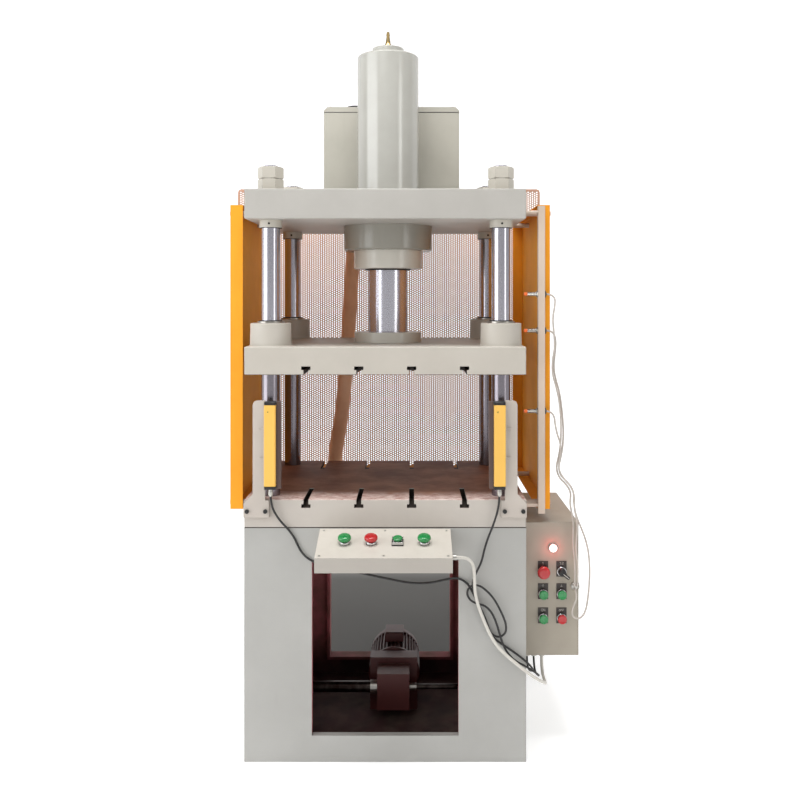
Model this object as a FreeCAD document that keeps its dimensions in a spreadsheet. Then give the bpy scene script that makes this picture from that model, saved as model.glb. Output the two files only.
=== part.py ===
import FreeCAD, Part

"""Four-column hydraulic press with a welded base, guided slide, overhead cylinder and guards.

All sizes are in millimetres.  X runs to the right, Y to the back and Z up.  The origin lies on
the underside of the base, below the press axis.  The slide is drawn a little over half way up.
"""

import math
import os
import re

import Sketcher
from FreeCAD import Placement, Rotation, Vector

os.makedirs("parts", exist_ok=True)

# ---------------------------------------------------------------------------------------------
# Driving dimensions
# ---------------------------------------------------------------------------------------------
SIZES = {
    # the three big plates and the box that carries them
    "plate_length": 800, "plate_depth": 600, "edge_break": 2,
    "base_height": 665, "base_wall": 20, "floor_thickness": 10,
    "window_width": 416, "window_sill": 75, "window_height": 498,
    "lining_depth": 30, "lining_thickness": 10,
    "table_thickness": 80, "crown_level": 1542, "crown_thickness": 85,
    "slide_level": 1098, "slide_thickness": 80,
    # tee slots
    "tee_pitch": 150, "tee_neck": 14, "tee_cover": 14, "tee_head": 26, "tee_head_height": 10,
    "tee_length": 150,
    # columns, nuts and collars
    "column_inset": 65, "column_dia": 55, "stud_dia": 42, "stud_fit": 0.2, "stud_end": 5,
    "nut_across": 65, "nut_height": 34.5, "nut_chamfer": 3,
    "collar_dia": 66, "collar_height": 22, "collar_fit": 0.2, "collar_screw_dia": 6,
    # cylinder
    "barrel_dia": 194, "barrel_bore": 150, "barrel_top": 2080, "barrel_rim": 4, "barrel_fit": 0.3,
    "ring_dia": 280, "ring_height": 77, "gland_dia": 216, "gland_height": 57, "gland_spigot": 40,
    "plug_height": 40, "cap_dia": 100, "cap_height": 27,
    "bleed_dia": 24, "bleed_height": 54, "port_boss_dia": 34, "port_boss_reach": 30,
    "head_port_drop": 70, "rod_port_rise": 28,
    # piston and slide
    "rod_dia": 125, "rod_fit": 0.1, "piston_level": 1735, "piston_thickness": 60,
    "rod_flange_dia": 212, "rod_flange_height": 32,
    "boss_foot_dia": 120, "boss_top_dia": 117, "boss_height": 66,
    "boss_fillet": 3, "bush_dia": 70, "bush_seat": 0.1, "bush_fit": 0.1, "bush_collar_dia": 80,
    "bush_collar_height": 5,
    # oil tank
    "tank_length": 450, "tank_depth": 230, "tank_height": 307, "tank_wall": 3,
    "tank_shift": 8, "tank_front": 130, "lid_height": 18, "lid_bevel": 12,
    "filler_x": -120, "filler_dia": 58, "filler_height": 24, "filler_neck_dia": 36,
    "filler_neck_height": 15, "filler_wall": 3, "filler_fit": 0.3,
    # pump set
    "motor_dia": 165, "motor_length": 190, "motor_axis_height": 100, "motor_front": 55,
    "motor_x": 18, "motor_wall": 12, "rotor_gap": 2, "shaft_dia": 24, "shaft_fit": 0.1,
    "bell_width": 150, "bell_length": 55, "bell_wall": 10, "coupling_dia": 60,
    "pump_width": 100, "pump_height": 112, "pump_length": 80,
    # valve block
    "block_length": 120, "block_depth": 70, "block_height": 130, "block_level": 450,
    "block_x": 270, "valve_width": 46, "valve_depth": 44, "valve_height": 130, "gauge_dia": 63,
    "gauge_depth": 26,
    # pipes and the hose
    "pipe_dia": 16, "return_pipe_dia": 20, "suction_pipe_dia": 34, "hose_dia": 50,
    "union_dia": 22, "return_union_dia": 28, "union_length": 22, "hose_end_dia": 58,
    "pipe_gap": 30, "rod_pipe_gap": 18, "head_port_gap": 16, "rod_riser": 62, "head_riser": 86,
    "return_riser": 74, "pressure_inset": 25, "pressure_reach": 65, "pressure_gap": 5,
    "rod_pipe_drop": 27, "head_pipe_rise": 18, "head_pipe_reach": 265, "return_drop": 55,
    "return_reach": 200, "return_gap": 26, "tank_port_gap": 14, "suction_reach": 325,
    "suction_depth": 120, "hose_entry": -199, "elbow_drop": 45, "elbow_foot": 20,
    "elbow_offset": 1, "inside_gap": 2, "suction_wall": 4,
    # side and rear guards
    "guard_bottom": 694, "guard_height": 897, "guard_front": -200, "guard_depth": 640,
    "guard_flange": 37, "guard_sheet": 2, "left_guard_gap": 58, "right_guard_gap": 81,
    "mesh_width": 1110, "mesh_height": 1023, "mesh_shift": -9, "mesh_sheet": 1.5,
    "mesh_corner": 12, "mesh_border": 15, "mesh_columns": 10, "mesh_rows": 9,
    "mesh_opening": 64, "standoff_dia": 16, "standoff_bolt": 8, "standoff_hole_gap": 0.3,
    "standoff_head": 6, "standoff_inset": 15, "standoff_front": -170, "standoff_rear": 250,
    # sensor rail
    "rail_width": 20, "rail_gap": 45, "rail_front": -225, "rail_bottom": 686,
    "rail_height": 900, "sensor_dia": 12, "sensor_fit": 0.2, "sensor_length": 66,
    "sensor_gap": 4, "sensor_tip": 10, "sensor_nut": 17, "sensor_nut_height": 4,
    "sensor_high": 1328, "sensor_middle": 1221, "sensor_low": 985, "rail_stud_dia": 10,
    # light curtains
    "curtain_x": 322, "curtain_width": 33, "curtain_depth": 32, "curtain_gap": 3,
    "curtain_bottom": 779, "curtain_height": 246, "curtain_cap": 9, "curtain_cap_inset": 1,
    "bracket_sheet": 6, "bracket_bottom": 696, "bracket_top": 1027, "bracket_outer": 374,
    "bracket_corner": 12, "bracket_leg": 3, "bracket_leg_depth": 18, "bracket_inner_leg": 12, "foot_inner": 328,
    "foot_outer": 400, "shoulder": 18, "foot_screw_dia": 12, "foot_screw_height": 5,
    "connector_dia": 14, "connector_length": 21,
    # console
    "console_length": 370, "console_depth": 150, "console_bottom": 582, "console_front": 40,
    "console_back": 80, "console_sheet": 2, "console_button_pitch": 73,
    "console_button_reach": 75,
    # push buttons
    "button_hole": 22.4, "button_neck": 22, "button_neck_length": 26, "bezel_dia": 29.5,
    "bezel_height": 7.5, "button_bore": 16.6, "button_stem": 16, "button_travel": 4,
    "button_gap": 0.5, "palm_dia": 37, "palm_height": 12, "cap_button_dia": 27,
    "cap_button_height": 7, "knob_dia": 24, "knob_height": 12, "lever_length": 34,
    "lever_width": 9, "label_width": 30, "label_drop": 16, "label_rise": 30,
    "label_thickness": 1.5,
    # control cabinet
    "cabinet_width": 163, "cabinet_depth": 400, "cabinet_height": 390, "cabinet_bottom": 267,
    "cabinet_front": -210, "cabinet_sheet": 2, "button_column_near": 61,
    "button_column_far": 115, "row_low": 377, "row_middle": 448, "row_high": 514,
    "lamp_x": 90, "lamp_level": 583, "lamp_dia": 26, "lamp_height": 12,
    "door_sheet": 2, "door_gap": 0.3, "hinge_pin_dia": 4, "hinge_knuckle_dia": 8,
    "hinge_fit": 0.1, "hinge_length": 60, "hinge_inset": 60, "leaf_width": 20,
    "leaf_sheet": 2, "lock_dia": 18, "lock_height": 6, "lock_shaft_dia": 10, "lock_fit": 0.3,
    "lock_inset": 26, "cam_length": 16, "cam_sheet": 3, "gear_sheet": 3, "gear_front": 40,
    "gear_margin": 60, "gear_block_width": 70, "gear_block_height": 60, "gear_block_front": 80,
    "gear_block_margin": 140, "gear_block_low": 50, "gear_block_pitch": 110,
    # cables
    "black_cable_dia": 6, "grey_cable_dia": 9, "sensor_cable_dia": 5, "gland_neck_dia": 14,
    "cable_gland_dia": 18, "cable_gland_length": 14, "sensor_gland_dia": 20,
    "sensor_gland_length": 10, "clip_width": 22, "clip_height": 16, "clip_thickness": 1.6,
}

doc = FreeCAD.newDocument("hydraulic_press")
sheet = doc.addObject("Spreadsheet::Sheet", "Sizes")
for row, (alias, number) in enumerate(SIZES.items(), start=1):
    sheet.set(f"A{row}", alias)
    sheet.set(f"B{row}", str(number))
    sheet.setAlias(f"B{row}", alias)
doc.recompute()

AXIS_ROTATION = {
    "+X": Rotation(Vector(0, 1, 0), 90),
    "-X": Rotation(Vector(0, 1, 0), -90),
    "+Y": Rotation(Vector(1, 0, 0), -90),
    "-Y": Rotation(Vector(1, 0, 0), 90),
    "+Z": Rotation(),
    "-Z": Rotation(Vector(1, 0, 0), 180),
}
nodes = []


def bound(text):
    """An expression on the sheet: every alias in the text gets the sheet's name before it."""
    return re.sub(r"[a-z][a-z_]*", lambda word: f"Sizes.{word[0]}" if word[0] in SIZES else word[0],
                  str(text))


def bind(thing, **fields):
    """Bind several properties of one object to expressions."""
    for field, text in fields.items():
        thing.setExpression(field.replace("__", "."), bound(text))


def put(thing, at, turn="+Z"):
    """Place an object at three expressions, with its own Z along the named direction."""
    rotation = AXIS_ROTATION[turn] if isinstance(turn, str) else turn
    thing.Placement = Placement(Vector(), rotation)
    bind(thing, Placement__Base__x=at[0], Placement__Base__y=at[1], Placement__Base__z=at[2])
    return thing


def node(thing, name):
    """Keep an object as a finished piece under its own name."""
    thing.Label = name
    nodes.append(thing)
    return thing


def box(name, size, at):
    """A block from its lowest corner."""
    block = doc.addObject("Part::Box", name)
    bind(block, Length=size[0], Width=size[1], Height=size[2])
    return put(block, at)


def rod(name, dia, length, at, turn="+Z"):
    """A round bar from the centre of its first end."""
    bar = doc.addObject("Part::Cylinder", name)
    bind(bar, Radius=f"({dia}) / 2", Height=length)
    return put(bar, at, turn)


def cut(name, base, *tools):
    """The base without the tools."""
    taken = tools[0] if len(tools) == 1 else joined(f"{name}_tools", *tools)
    result = doc.addObject("Part::Cut", name)
    result.Base = base
    result.Tool = taken
    return result


def joined(name, *shapes):
    """Several shapes as one solid."""
    result = doc.addObject("Part::MultiFuse", name)
    result.Shapes = list(shapes)
    result.Refine = True
    return result


def group(name, pieces):
    """Like pieces, each still a solid of its own."""
    result = doc.addObject("Part::Compound", name)
    result.Links = list(pieces)
    return result


def common(name, first, second):
    """What two shapes share."""
    result = doc.addObject("Part::MultiCommon", name)
    result.Shapes = [first, second]
    return result


def origin_plane(body, role):
    """One of a body's own origin planes."""
    return next(feature for feature in body.Origin.OriginFeatures if feature.Role == role)


def outline(body, name, plane, points):
    """A closed polygon in a sketch whose corners are bound to pairs of expressions."""
    sketch = body.newObject("Sketcher::SketchObject", name)
    sketch.AttachmentSupport = [(origin_plane(body, plane), "")]
    sketch.MapMode = "FlatFace"
    count = len(points)
    rough = [Vector(math.cos(2 * math.pi * i / count) + 2, math.sin(2 * math.pi * i / count), 0)
             for i in range(count)]
    for i in range(count):
        sketch.addGeometry(Part.LineSegment(rough[i], rough[(i + 1) % count]))
    for i in range(count):
        sketch.addConstraint(Sketcher.Constraint("Coincident", i, 2, (i + 1) % count, 1))
    for i, point in enumerate(points):
        for kind, text, number in zip(("DistanceX", "DistanceY"), point, (rough[i].x, rough[i].y)):
            held = sketch.addConstraint(Sketcher.Constraint(kind, -1, 1, i, 1, number))
            sketch.setExpression(f"Constraints[{held}]", bound(text))
    return sketch


def turned(name, points, at, turn="+Z"):
    """A piece turned from an outline of radius and height about its own Z."""
    body = doc.addObject("PartDesign::Body", name)
    sketch = outline(body, f"{name}_outline", "XZ_Plane", points)
    feature = body.newObject("PartDesign::Revolution", f"{name}_turned")
    feature.Profile = sketch
    feature.ReferenceAxis = (sketch, ["V_Axis"])
    feature.Angle = 360
    body.Tip = feature
    return put(body, at, turn)


def folded(name, points, length, at):
    """A bar of constant section: an outline of Y and Z drawn out to both sides along X."""
    body = doc.addObject("PartDesign::Body", name)
    sketch = outline(body, f"{name}_outline", "YZ_Plane", points)
    feature = body.newObject("PartDesign::Pad", f"{name}_drawn")
    feature.Profile = sketch
    feature.Midplane = True
    bind(feature, Length=length)
    body.Tip = feature
    return put(body, at)


def plate(name, points, thickness, at):
    """A flat plate: an outline of X and Z drawn out to both sides along Y."""
    body = doc.addObject("PartDesign::Body", name)
    sketch = outline(body, f"{name}_outline", "XZ_Plane", points)
    feature = body.newObject("PartDesign::Pad", f"{name}_drawn")
    feature.Profile = sketch
    feature.Midplane = True
    bind(feature, Length=thickness)
    body.Tip = feature
    return put(body, at)


def broken_block(name, size, at):
    """A block whose twelve edges are broken by the same small chamfer."""
    body = doc.addObject("PartDesign::Body", name)
    block = body.newObject("PartDesign::AdditiveBox", f"{name}_block")
    bind(block, Length=size[0], Width=size[1], Height=size[2])
    broken = body.newObject("PartDesign::Chamfer", f"{name}_broken")
    broken.Base = (block, [f"Edge{edge}" for edge in range(1, 13)])
    bind(broken, Size="edge_break")
    body.Tip = broken
    return put(body, at)


# ---------------------------------------------------------------------------------------------
# Places that several pieces share
# ---------------------------------------------------------------------------------------------
TABLE_TOP = "(base_height + table_thickness)"
CROWN_TOP = "(crown_level + crown_thickness)"
SLIDE_TOP = "(slide_level + slide_thickness)"
RING_LEVEL = "(crown_level - ring_height)"
GLAND_LEVEL = f"({RING_LEVEL} - gland_height)"
SIDE = "(plate_length / 2)"
FRONT = "(-plate_depth / 2)"
BACK = "(plate_depth / 2)"
COLUMN_X = "(plate_length / 2 - column_inset)"
COLUMN_Y = "(plate_depth / 2 - column_inset)"
CORNERS = {
    "front_left": (f"-{COLUMN_X}", f"-{COLUMN_Y}"), "front_right": (COLUMN_X, f"-{COLUMN_Y}"),
    "rear_left": (f"-{COLUMN_X}", COLUMN_Y), "rear_right": (COLUMN_X, COLUMN_Y),
}
OVER = "1"  # how far a cutting tool passes its face

# ---------------------------------------------------------------------------------------------
# Base, worktable, columns and crown
# ---------------------------------------------------------------------------------------------
def window(name, grow, y, depth):
    """A block the size of a base window, larger by a margin all round."""
    return box(name, (f"window_width + 2 * {grow}", depth, f"window_height + 2 * {grow}"),
               (f"-window_width / 2 - {grow}", y, f"window_sill - {grow}"))


BASE_INNER = (f"-{SIDE} + base_wall", f"{FRONT} + base_wall", "floor_thickness")
base_box = cut(
    "base_box",
    box("base_outer", ("plate_length", "plate_depth", "base_height"), (f"-{SIDE}", FRONT, "0")),
    box("base_inner", ("plate_length - 2 * base_wall", "plate_depth - 2 * base_wall",
                       f"base_height + {OVER}"), BASE_INNER),
    window("front_window", "0", f"{FRONT} - {OVER}", f"base_wall + 2 * {OVER}"),
    window("rear_window", "0", f"{BACK} - base_wall - {OVER}", f"base_wall + 2 * {OVER}"),
    rod("hose_hole", "suction_pipe_dia + 2", f"base_wall + 2 * {OVER}",
        ("hose_entry", f"{BACK} - base_wall - {OVER}", "base_height - elbow_drop"), "+Y"),
    rod("pressure_hole", "pipe_dia + 2", f"base_wall + 2 * {OVER}",
        ("block_x - pressure_inset", f"{BACK} - base_wall - {OVER}", "motor_axis_height"), "+Y"),
)
LINING_Y = f"{BACK} - base_wall - lining_depth"
lining = cut(
    "window_lining",
    window("lining_outer", "lining_thickness", LINING_Y, "lining_depth"),
    window("lining_inner", "0", f"{LINING_Y} - {OVER}", f"lining_depth + 2 * {OVER}"),
)
node(joined("base_frame", base_box, lining), "base_frame")


def tee_slots(name, face, into):
    """Eight tee slots in one face, four from the front edge and four from the rear edge."""
    cutters = []
    for column, along in enumerate(("-1.5", "-0.5", "0.5", "1.5")):
        centre = f"{along} * tee_pitch"
        for end, y in (("front", f"{FRONT} - {OVER}"), ("rear", f"{BACK} - tee_length")):
            neck_z = f"{face} - tee_cover" if into == "down" else f"{face} - {OVER}"
            head_z = (f"{face} - tee_cover - tee_head_height" if into == "down"
                      else f"{face} + tee_cover")
            cutters.append(box(f"{name}_neck_{end}_{column}",
                               ("tee_neck", f"tee_length + {OVER}", f"tee_cover + {OVER}"),
                               (f"{centre} - tee_neck / 2", y, neck_z)))
            cutters.append(box(f"{name}_head_{end}_{column}",
                               ("tee_head", f"tee_length + {OVER}", "tee_head_height"),
                               (f"{centre} - tee_head / 2", y, head_z)))
    return cutters


def corner_bores(name, dia, level, length):
    """Four upright cutters on the column axes."""
    return [rod(f"{name}_{corner}", dia, f"{length} + 2 * {OVER}", (x, y, f"{level} - {OVER}"))
            for corner, (x, y) in CORNERS.items()]


STUD_BORE = "stud_dia + 2 * stud_fit"
node(cut("worktable_cut",
         broken_block("worktable_plate", ("plate_length", "plate_depth", "table_thickness"),
                      (f"-{SIDE}", FRONT, "base_height")),
         *tee_slots("table", TABLE_TOP, "down"),
         *corner_bores("table_bore", STUD_BORE, "base_height", "table_thickness")),
     "worktable")

node(cut("crown_cut",
         broken_block("crown_block", ("plate_length", "plate_depth", "crown_thickness"),
                      (f"-{SIDE}", FRONT, "crown_level")),
         rod("barrel_hole", "barrel_dia + 2 * barrel_fit", f"crown_thickness + 2 * {OVER}",
             ("0", "0", f"crown_level - {OVER}")),
         *corner_bores("crown_bore", STUD_BORE, "crown_level", "crown_thickness")),
     "crown_plate")

STUD_LOW = "(-table_thickness - nut_height - stud_end)"
SHOULDER = f"(crown_level - {TABLE_TOP})"
STUD_HIGH = f"({SHOULDER} + crown_thickness + 2 * nut_height + stud_end)"
STUD_R = "stud_dia / 2"
for corner, (x, y) in CORNERS.items():
    node(turned(f"column_{corner}_body", [
        ("0", STUD_LOW), (f"{STUD_R} - edge_break", STUD_LOW), (STUD_R, f"{STUD_LOW} + edge_break"),
        (STUD_R, "0"), ("column_dia / 2", "0"), ("column_dia / 2", SHOULDER), (STUD_R, SHOULDER),
        (STUD_R, f"{STUD_HIGH} - edge_break"), (f"{STUD_R} - edge_break", STUD_HIGH),
        ("0", STUD_HIGH)], (x, y, TABLE_TOP)), f"column_{corner}")


def hexagon(name, across, height, at, turn="+Z"):
    """A plain hexagonal bar given across its flats."""
    bar = doc.addObject("Part::Prism", name)
    bar.Polygon = 6
    bind(bar, Circumradius=f"({across}) / sqrt(3)", Height=height)
    return put(bar, at, turn)


def hex_nut(name, across, bore, height, chamfer, at, turn="+Z"):
    """A hexagon nut with both faces chamfered."""
    flat = f"({across}) / 2 - 0.5"
    point = f"({across}) / sqrt(3) + 0.5"
    form = turned(f"{name}_form", [
        (f"({bore}) / 2", "0"), (flat, "0"), (point, chamfer), (point, f"{height} - {chamfer}"),
        (flat, height), (f"({bore}) / 2", height)], at, turn)
    return common(name, hexagon(f"{name}_hexagon", across, height, at, turn), form)


nuts = []
collars = []
for corner, (x, y) in CORNERS.items():
    for place, level in (("below", "base_height - nut_height"), ("above", CROWN_TOP),
                         ("top", f"{CROWN_TOP} + nut_height")):
        nuts.append(hex_nut(f"nut_{corner}_{place}", "nut_across", STUD_BORE, "nut_height",
                            "nut_chamfer", (x, y, level)))
    collar_z = "crown_level - collar_height"
    collars.append(cut(
        f"collar_{corner}",
        rod(f"collar_ring_{corner}", "collar_dia", "collar_height", (x, y, collar_z)),
        rod(f"collar_hole_{corner}", "column_dia + 2 * collar_fit",
            f"collar_height + 2 * {OVER}", (x, y, f"{collar_z} - {OVER}")),
        rod(f"collar_screw_{corner}", "collar_screw_dia", "collar_dia / 2",
            (x, y, "crown_level - collar_height / 2"), "-Y")))
node(group("nut_group", nuts + collars), "column_nuts")

# ---------------------------------------------------------------------------------------------
# Cylinder
# ---------------------------------------------------------------------------------------------
BORE_R = "barrel_bore / 2"
BARREL_R = "barrel_dia / 2"
BARREL_H = f"(barrel_top - {RING_LEVEL})"
HEAD_PORT = "(barrel_top - head_port_drop)"
ROD_PORT = f"({GLAND_LEVEL} + rod_port_rise)"
node(turned("barrel_body", [
    (BORE_R, "0"), (BARREL_R, "0"), (BARREL_R, f"{BARREL_H} - barrel_rim"),
    (f"{BARREL_R} - barrel_rim", BARREL_H), (BORE_R, BARREL_H)], ("0", "0", RING_LEVEL)),
    "cylinder_barrel")
RING_R = "ring_dia / 2"
RING_BORE = f"{BARREL_R} + barrel_fit"
node(turned("ring_body", [
    (RING_BORE, "0"), (f"{RING_R} - barrel_rim", "0"), (RING_R, "barrel_rim"),
    (RING_R, "ring_height"), (RING_BORE, "ring_height")], ("0", "0", RING_LEVEL)),
    "cylinder_ring_nut")
GLAND_BORE = "rod_dia / 2 + rod_fit"
SPIGOT_R = f"{BORE_R} - barrel_fit"
node(turned("gland_body", [
    (GLAND_BORE, "0"), ("gland_dia / 2 - edge_break", "0"), ("gland_dia / 2", "edge_break"),
    ("gland_dia / 2", "gland_height"), (SPIGOT_R, "gland_height"),
    (SPIGOT_R, "gland_height + gland_spigot"), (GLAND_BORE, "gland_height + gland_spigot")],
    ("0", "0", GLAND_LEVEL)), "rod_gland")
BLEED_BORE = "bleed_dia / 4"
node(turned("end_cap_body", [
    ("0", "-plug_height"), (SPIGOT_R, "-plug_height"), (SPIGOT_R, "0"), ("cap_dia / 2", "0"),
    ("cap_dia / 2", "cap_height - edge_break"), ("cap_dia / 2 - edge_break", "cap_height"),
    ("0", "cap_height")], ("0", "0", "barrel_top")), "cylinder_end_cap")
node(turned("bleed_body", [
    ("0", "0"), ("bleed_dia / 2", "0"), ("bleed_dia / 2", "bleed_height / 5"),
    ("bleed_dia / 3", "bleed_height / 3"), ("bleed_dia / 5", "bleed_height * 0.75"),
    ("bleed_dia / 4", "bleed_height * 0.8"), ("bleed_dia / 6", "bleed_height"),
    ("0", "bleed_height")], ("0", "0", "barrel_top + cap_height")), "bleed_fitting")

# ---------------------------------------------------------------------------------------------
# Slide with its guide bushes and the piston rod
# ---------------------------------------------------------------------------------------------
BUSH_SEAT_R = "bush_dia / 2 + bush_seat"
FOOT_R = "boss_foot_dia / 2"
TOP_R = "boss_top_dia / 2"
bosses = [turned(f"boss_{corner}", [
    (BUSH_SEAT_R, "0"), (f"{FOOT_R} + boss_fillet", "0"),
    (f"{FOOT_R} + boss_fillet * 0.3", "boss_fillet * 0.3"), (FOOT_R, "boss_fillet"),
    (TOP_R, "boss_height - edge_break"), (f"{TOP_R} - edge_break", "boss_height"),
    (BUSH_SEAT_R, "boss_height")], (x, y, SLIDE_TOP)) for corner, (x, y) in CORNERS.items()]
slide_block = cut(
    "slide_block",
    broken_block("slide_blank", ("plate_length", "plate_depth", "slide_thickness"),
                 (f"-{SIDE}", FRONT, "slide_level")),
    *tee_slots("slide", "slide_level", "up"),
    *corner_bores("slide_bore", "bush_dia + 2 * bush_seat", "slide_level", "slide_thickness"))
node(joined("slide_body", slide_block, *bosses), "slide_plate")
BUSH_BORE = "column_dia / 2 + bush_fit"
BUSH_H = "(slide_thickness + boss_height)"
node(group("bush_group", [turned(f"bush_{corner}", [
    (BUSH_BORE, "0"), ("bush_dia / 2", "0"), ("bush_dia / 2", BUSH_H),
    ("bush_collar_dia / 2", BUSH_H), ("bush_collar_dia / 2", f"{BUSH_H} + bush_collar_height"),
    (BUSH_BORE, f"{BUSH_H} + bush_collar_height")], (x, y, "slide_level"))
    for corner, (x, y) in CORNERS.items()]), "guide_bushes")
ROD_R = "rod_dia / 2"
PISTON_Z = f"(piston_level - {SLIDE_TOP})"
node(turned("piston_body", [
    ("0", "0"), (ROD_R, "0"), (ROD_R, PISTON_Z), (SPIGOT_R, PISTON_Z),
    (SPIGOT_R, f"{PISTON_Z} + piston_thickness"), ("0", f"{PISTON_Z} + piston_thickness")],
    ("0", "0", SLIDE_TOP)), "piston_rod")
FLANGE_BORE = f"{ROD_R} + rod_fit"
node(turned("rod_flange_body", [
    (FLANGE_BORE, "0"), ("rod_flange_dia / 2", "0"),
    ("rod_flange_dia / 2", "rod_flange_height - edge_break"),
    ("rod_flange_dia / 2 - edge_break", "rod_flange_height"),
    (FLANGE_BORE, "rod_flange_height")], ("0", "0", SLIDE_TOP)), "rod_flange")

# ---------------------------------------------------------------------------------------------
# Oil tank on the crown
# ---------------------------------------------------------------------------------------------
TANK_X = "(-tank_length / 2 + tank_shift)"
LID_Z = f"({CROWN_TOP} + tank_height)"
node(cut("tank_cut",
         box("tank_outer", ("tank_length", "tank_depth", "tank_height"),
             (TANK_X, "tank_front", CROWN_TOP)),
         box("tank_inner", ("tank_length - 2 * tank_wall", "tank_depth - 2 * tank_wall",
                            "tank_height"),
             (f"{TANK_X} + tank_wall", "tank_front + tank_wall", f"{CROWN_TOP} + tank_wall"))),
     "oil_tank")
FILLER = ("filler_x", "tank_front + tank_depth / 2")
LID_TOP = f"({LID_Z} + lid_height)"
lid_hole = rod("lid_hole", "filler_neck_dia - 2 * filler_wall",
               f"lid_height + filler_neck_height + 2 * {OVER}", (*FILLER, f"{LID_Z} - {OVER}"))
node(cut("lid_cut",
         joined("lid_and_neck",
                plate("lid_block", [
                    (TANK_X, "0"), (f"{TANK_X} + tank_length", "0"),
                    (f"{TANK_X} + tank_length", "lid_height - lid_bevel"),
                    (f"{TANK_X} + tank_length - lid_bevel", "lid_height"),
                    (f"{TANK_X} + lid_bevel", "lid_height"),
                    (TANK_X, "lid_height - lid_bevel")],
                    "tank_depth", ("0", "tank_front + tank_depth / 2", LID_Z)),
                rod("filler_neck", "filler_neck_dia", "filler_neck_height", (*FILLER, LID_TOP))),
         lid_hole), "tank_lid")
CAP_BORE = "filler_neck_dia / 2 + filler_fit"
NECK_H = "filler_neck_height + filler_fit"
node(turned("filler_body", [
    (CAP_BORE, "filler_fit"), ("filler_dia / 2 - edge_break", "filler_fit"),
    ("filler_dia / 2", "filler_fit + edge_break"), ("filler_dia / 2", "filler_height - edge_break"),
    ("filler_dia / 2 - edge_break", "filler_height"), ("0", "filler_height"), ("0", NECK_H),
    (CAP_BORE, NECK_H)], (*FILLER, LID_TOP)), "filler_cap")

# ---------------------------------------------------------------------------------------------
# Motor and pump on the floor of the base
# ---------------------------------------------------------------------------------------------
MOTOR_R = "motor_dia / 2"
SHAFT_BORE = "shaft_dia / 2 + shaft_fit"
ROTOR_SPACE = f"{MOTOR_R} - motor_wall"
motor_shell = turned("motor_shell", [
    (SHAFT_BORE, "0"), (MOTOR_R, "0"), (MOTOR_R, "motor_length - motor_wall"),
    (f"{MOTOR_R} - motor_wall", "motor_length"), (SHAFT_BORE, "motor_length"),
    (SHAFT_BORE, "motor_length - motor_wall"), (ROTOR_SPACE, "motor_length - motor_wall"),
    (ROTOR_SPACE, "motor_wall"), (SHAFT_BORE, "motor_wall")],
    ("motor_x", "motor_front", "motor_axis_height"), "+Y")
MOTOR_FOOT_H = "motor_axis_height - floor_thickness - motor_dia / 2 + 8"
motor_feet = [box(f"motor_foot_{place}", ("motor_dia * 0.8", "25", MOTOR_FOOT_H),
                  ("motor_x - motor_dia * 0.4", y, "floor_thickness"))
              for place, y in (("front", "motor_front + 25"),
                               ("rear", "motor_front + motor_length - 50"))]
foot_space = rod("foot_space", "2 * (motor_dia / 2 - motor_wall)", "motor_length - 2 * motor_wall",
                 ("motor_x", "motor_front + motor_wall", "motor_axis_height"), "+Y")
motor_body = cut("motor_body", joined("motor_with_feet", motor_shell, *motor_feet), foot_space)
terminal_box = box("terminal_box", ("60", "70", "34"),
                   ("motor_x - 30", "motor_front + motor_length / 2 - 35",
                    "motor_axis_height + motor_dia / 2 - 5"))
node(joined("motor_complete", motor_body, cut("terminal_box_cut", terminal_box, rod(
    "terminal_space", "motor_dia - 10", "motor_length",
    ("motor_x", "motor_front", "motor_axis_height"), "+Y"))), "pump_motor")
BELL_X = "motor_x - bell_width / 2"
PUMP_TOP_GAP = "pump_height / 2"
pump_blocks = joined(
    "pump_blocks",
    box("bell_block", ("bell_width", "bell_length", "bell_width"),
        (BELL_X, "motor_front - bell_length", "motor_axis_height - bell_width / 2")),
    box("pump_block", ("pump_width", "pump_length", "pump_height"),
        ("motor_x - pump_width / 2", "motor_front - bell_length - pump_length",
         f"motor_axis_height - {PUMP_TOP_GAP}")),
    box("pump_foot", ("bell_width", "bell_length / 2",
                      "motor_axis_height - bell_width / 2 - floor_thickness"),
        (BELL_X, "motor_front - bell_length", "floor_thickness")))
node(cut("pump_cut", pump_blocks,
         rod("bell_space", "bell_width - 4 * bell_wall", "bell_length - bell_wall + 1",
             ("motor_x", "motor_front - bell_length + bell_wall", "motor_axis_height"), "+Y")),
     "gear_pump")
ROTOR_R = f"{ROTOR_SPACE} - rotor_gap"
SHAFT_R = "shaft_dia / 2"
SHAFT_START = "(-bell_length + bell_wall + rotor_gap)"
node(turned("rotor_body", [
    ("0", SHAFT_START), ("coupling_dia / 2", SHAFT_START), ("coupling_dia / 2", "-bell_wall"),
    (SHAFT_R, "-bell_wall"), (SHAFT_R, "motor_wall + rotor_gap"),
    (ROTOR_R, "motor_wall + rotor_gap"), (ROTOR_R, "motor_length - motor_wall - rotor_gap"),
    (SHAFT_R, "motor_length - motor_wall - rotor_gap"), (SHAFT_R, "motor_length - 1"),
    ("0", "motor_length - 1")], ("motor_x", "motor_front", "motor_axis_height"), "+Y"),
    "motor_rotor")

# ---------------------------------------------------------------------------------------------
# Valve block behind the base
# ---------------------------------------------------------------------------------------------
VALVE_Y = f"({BACK} + block_depth)"
node(group("valve_group", [
    box("manifold", ("block_length", "block_depth", "block_height"),
        ("block_x", BACK, "block_level")),
    box("valve_left", ("valve_width", "valve_depth", "valve_height"),
        ("block_x + 8", VALVE_Y, "block_level")),
    box("valve_right", ("valve_width", "valve_depth", "valve_height"),
        ("block_x + block_length - valve_width - 8", VALVE_Y, "block_level")),
    rod("gauge", "gauge_dia", "gauge_depth",
        ("block_x", f"{BACK} + block_depth / 2", "block_level + block_height / 2"), "-X")]),
    "valve_block")

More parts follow.
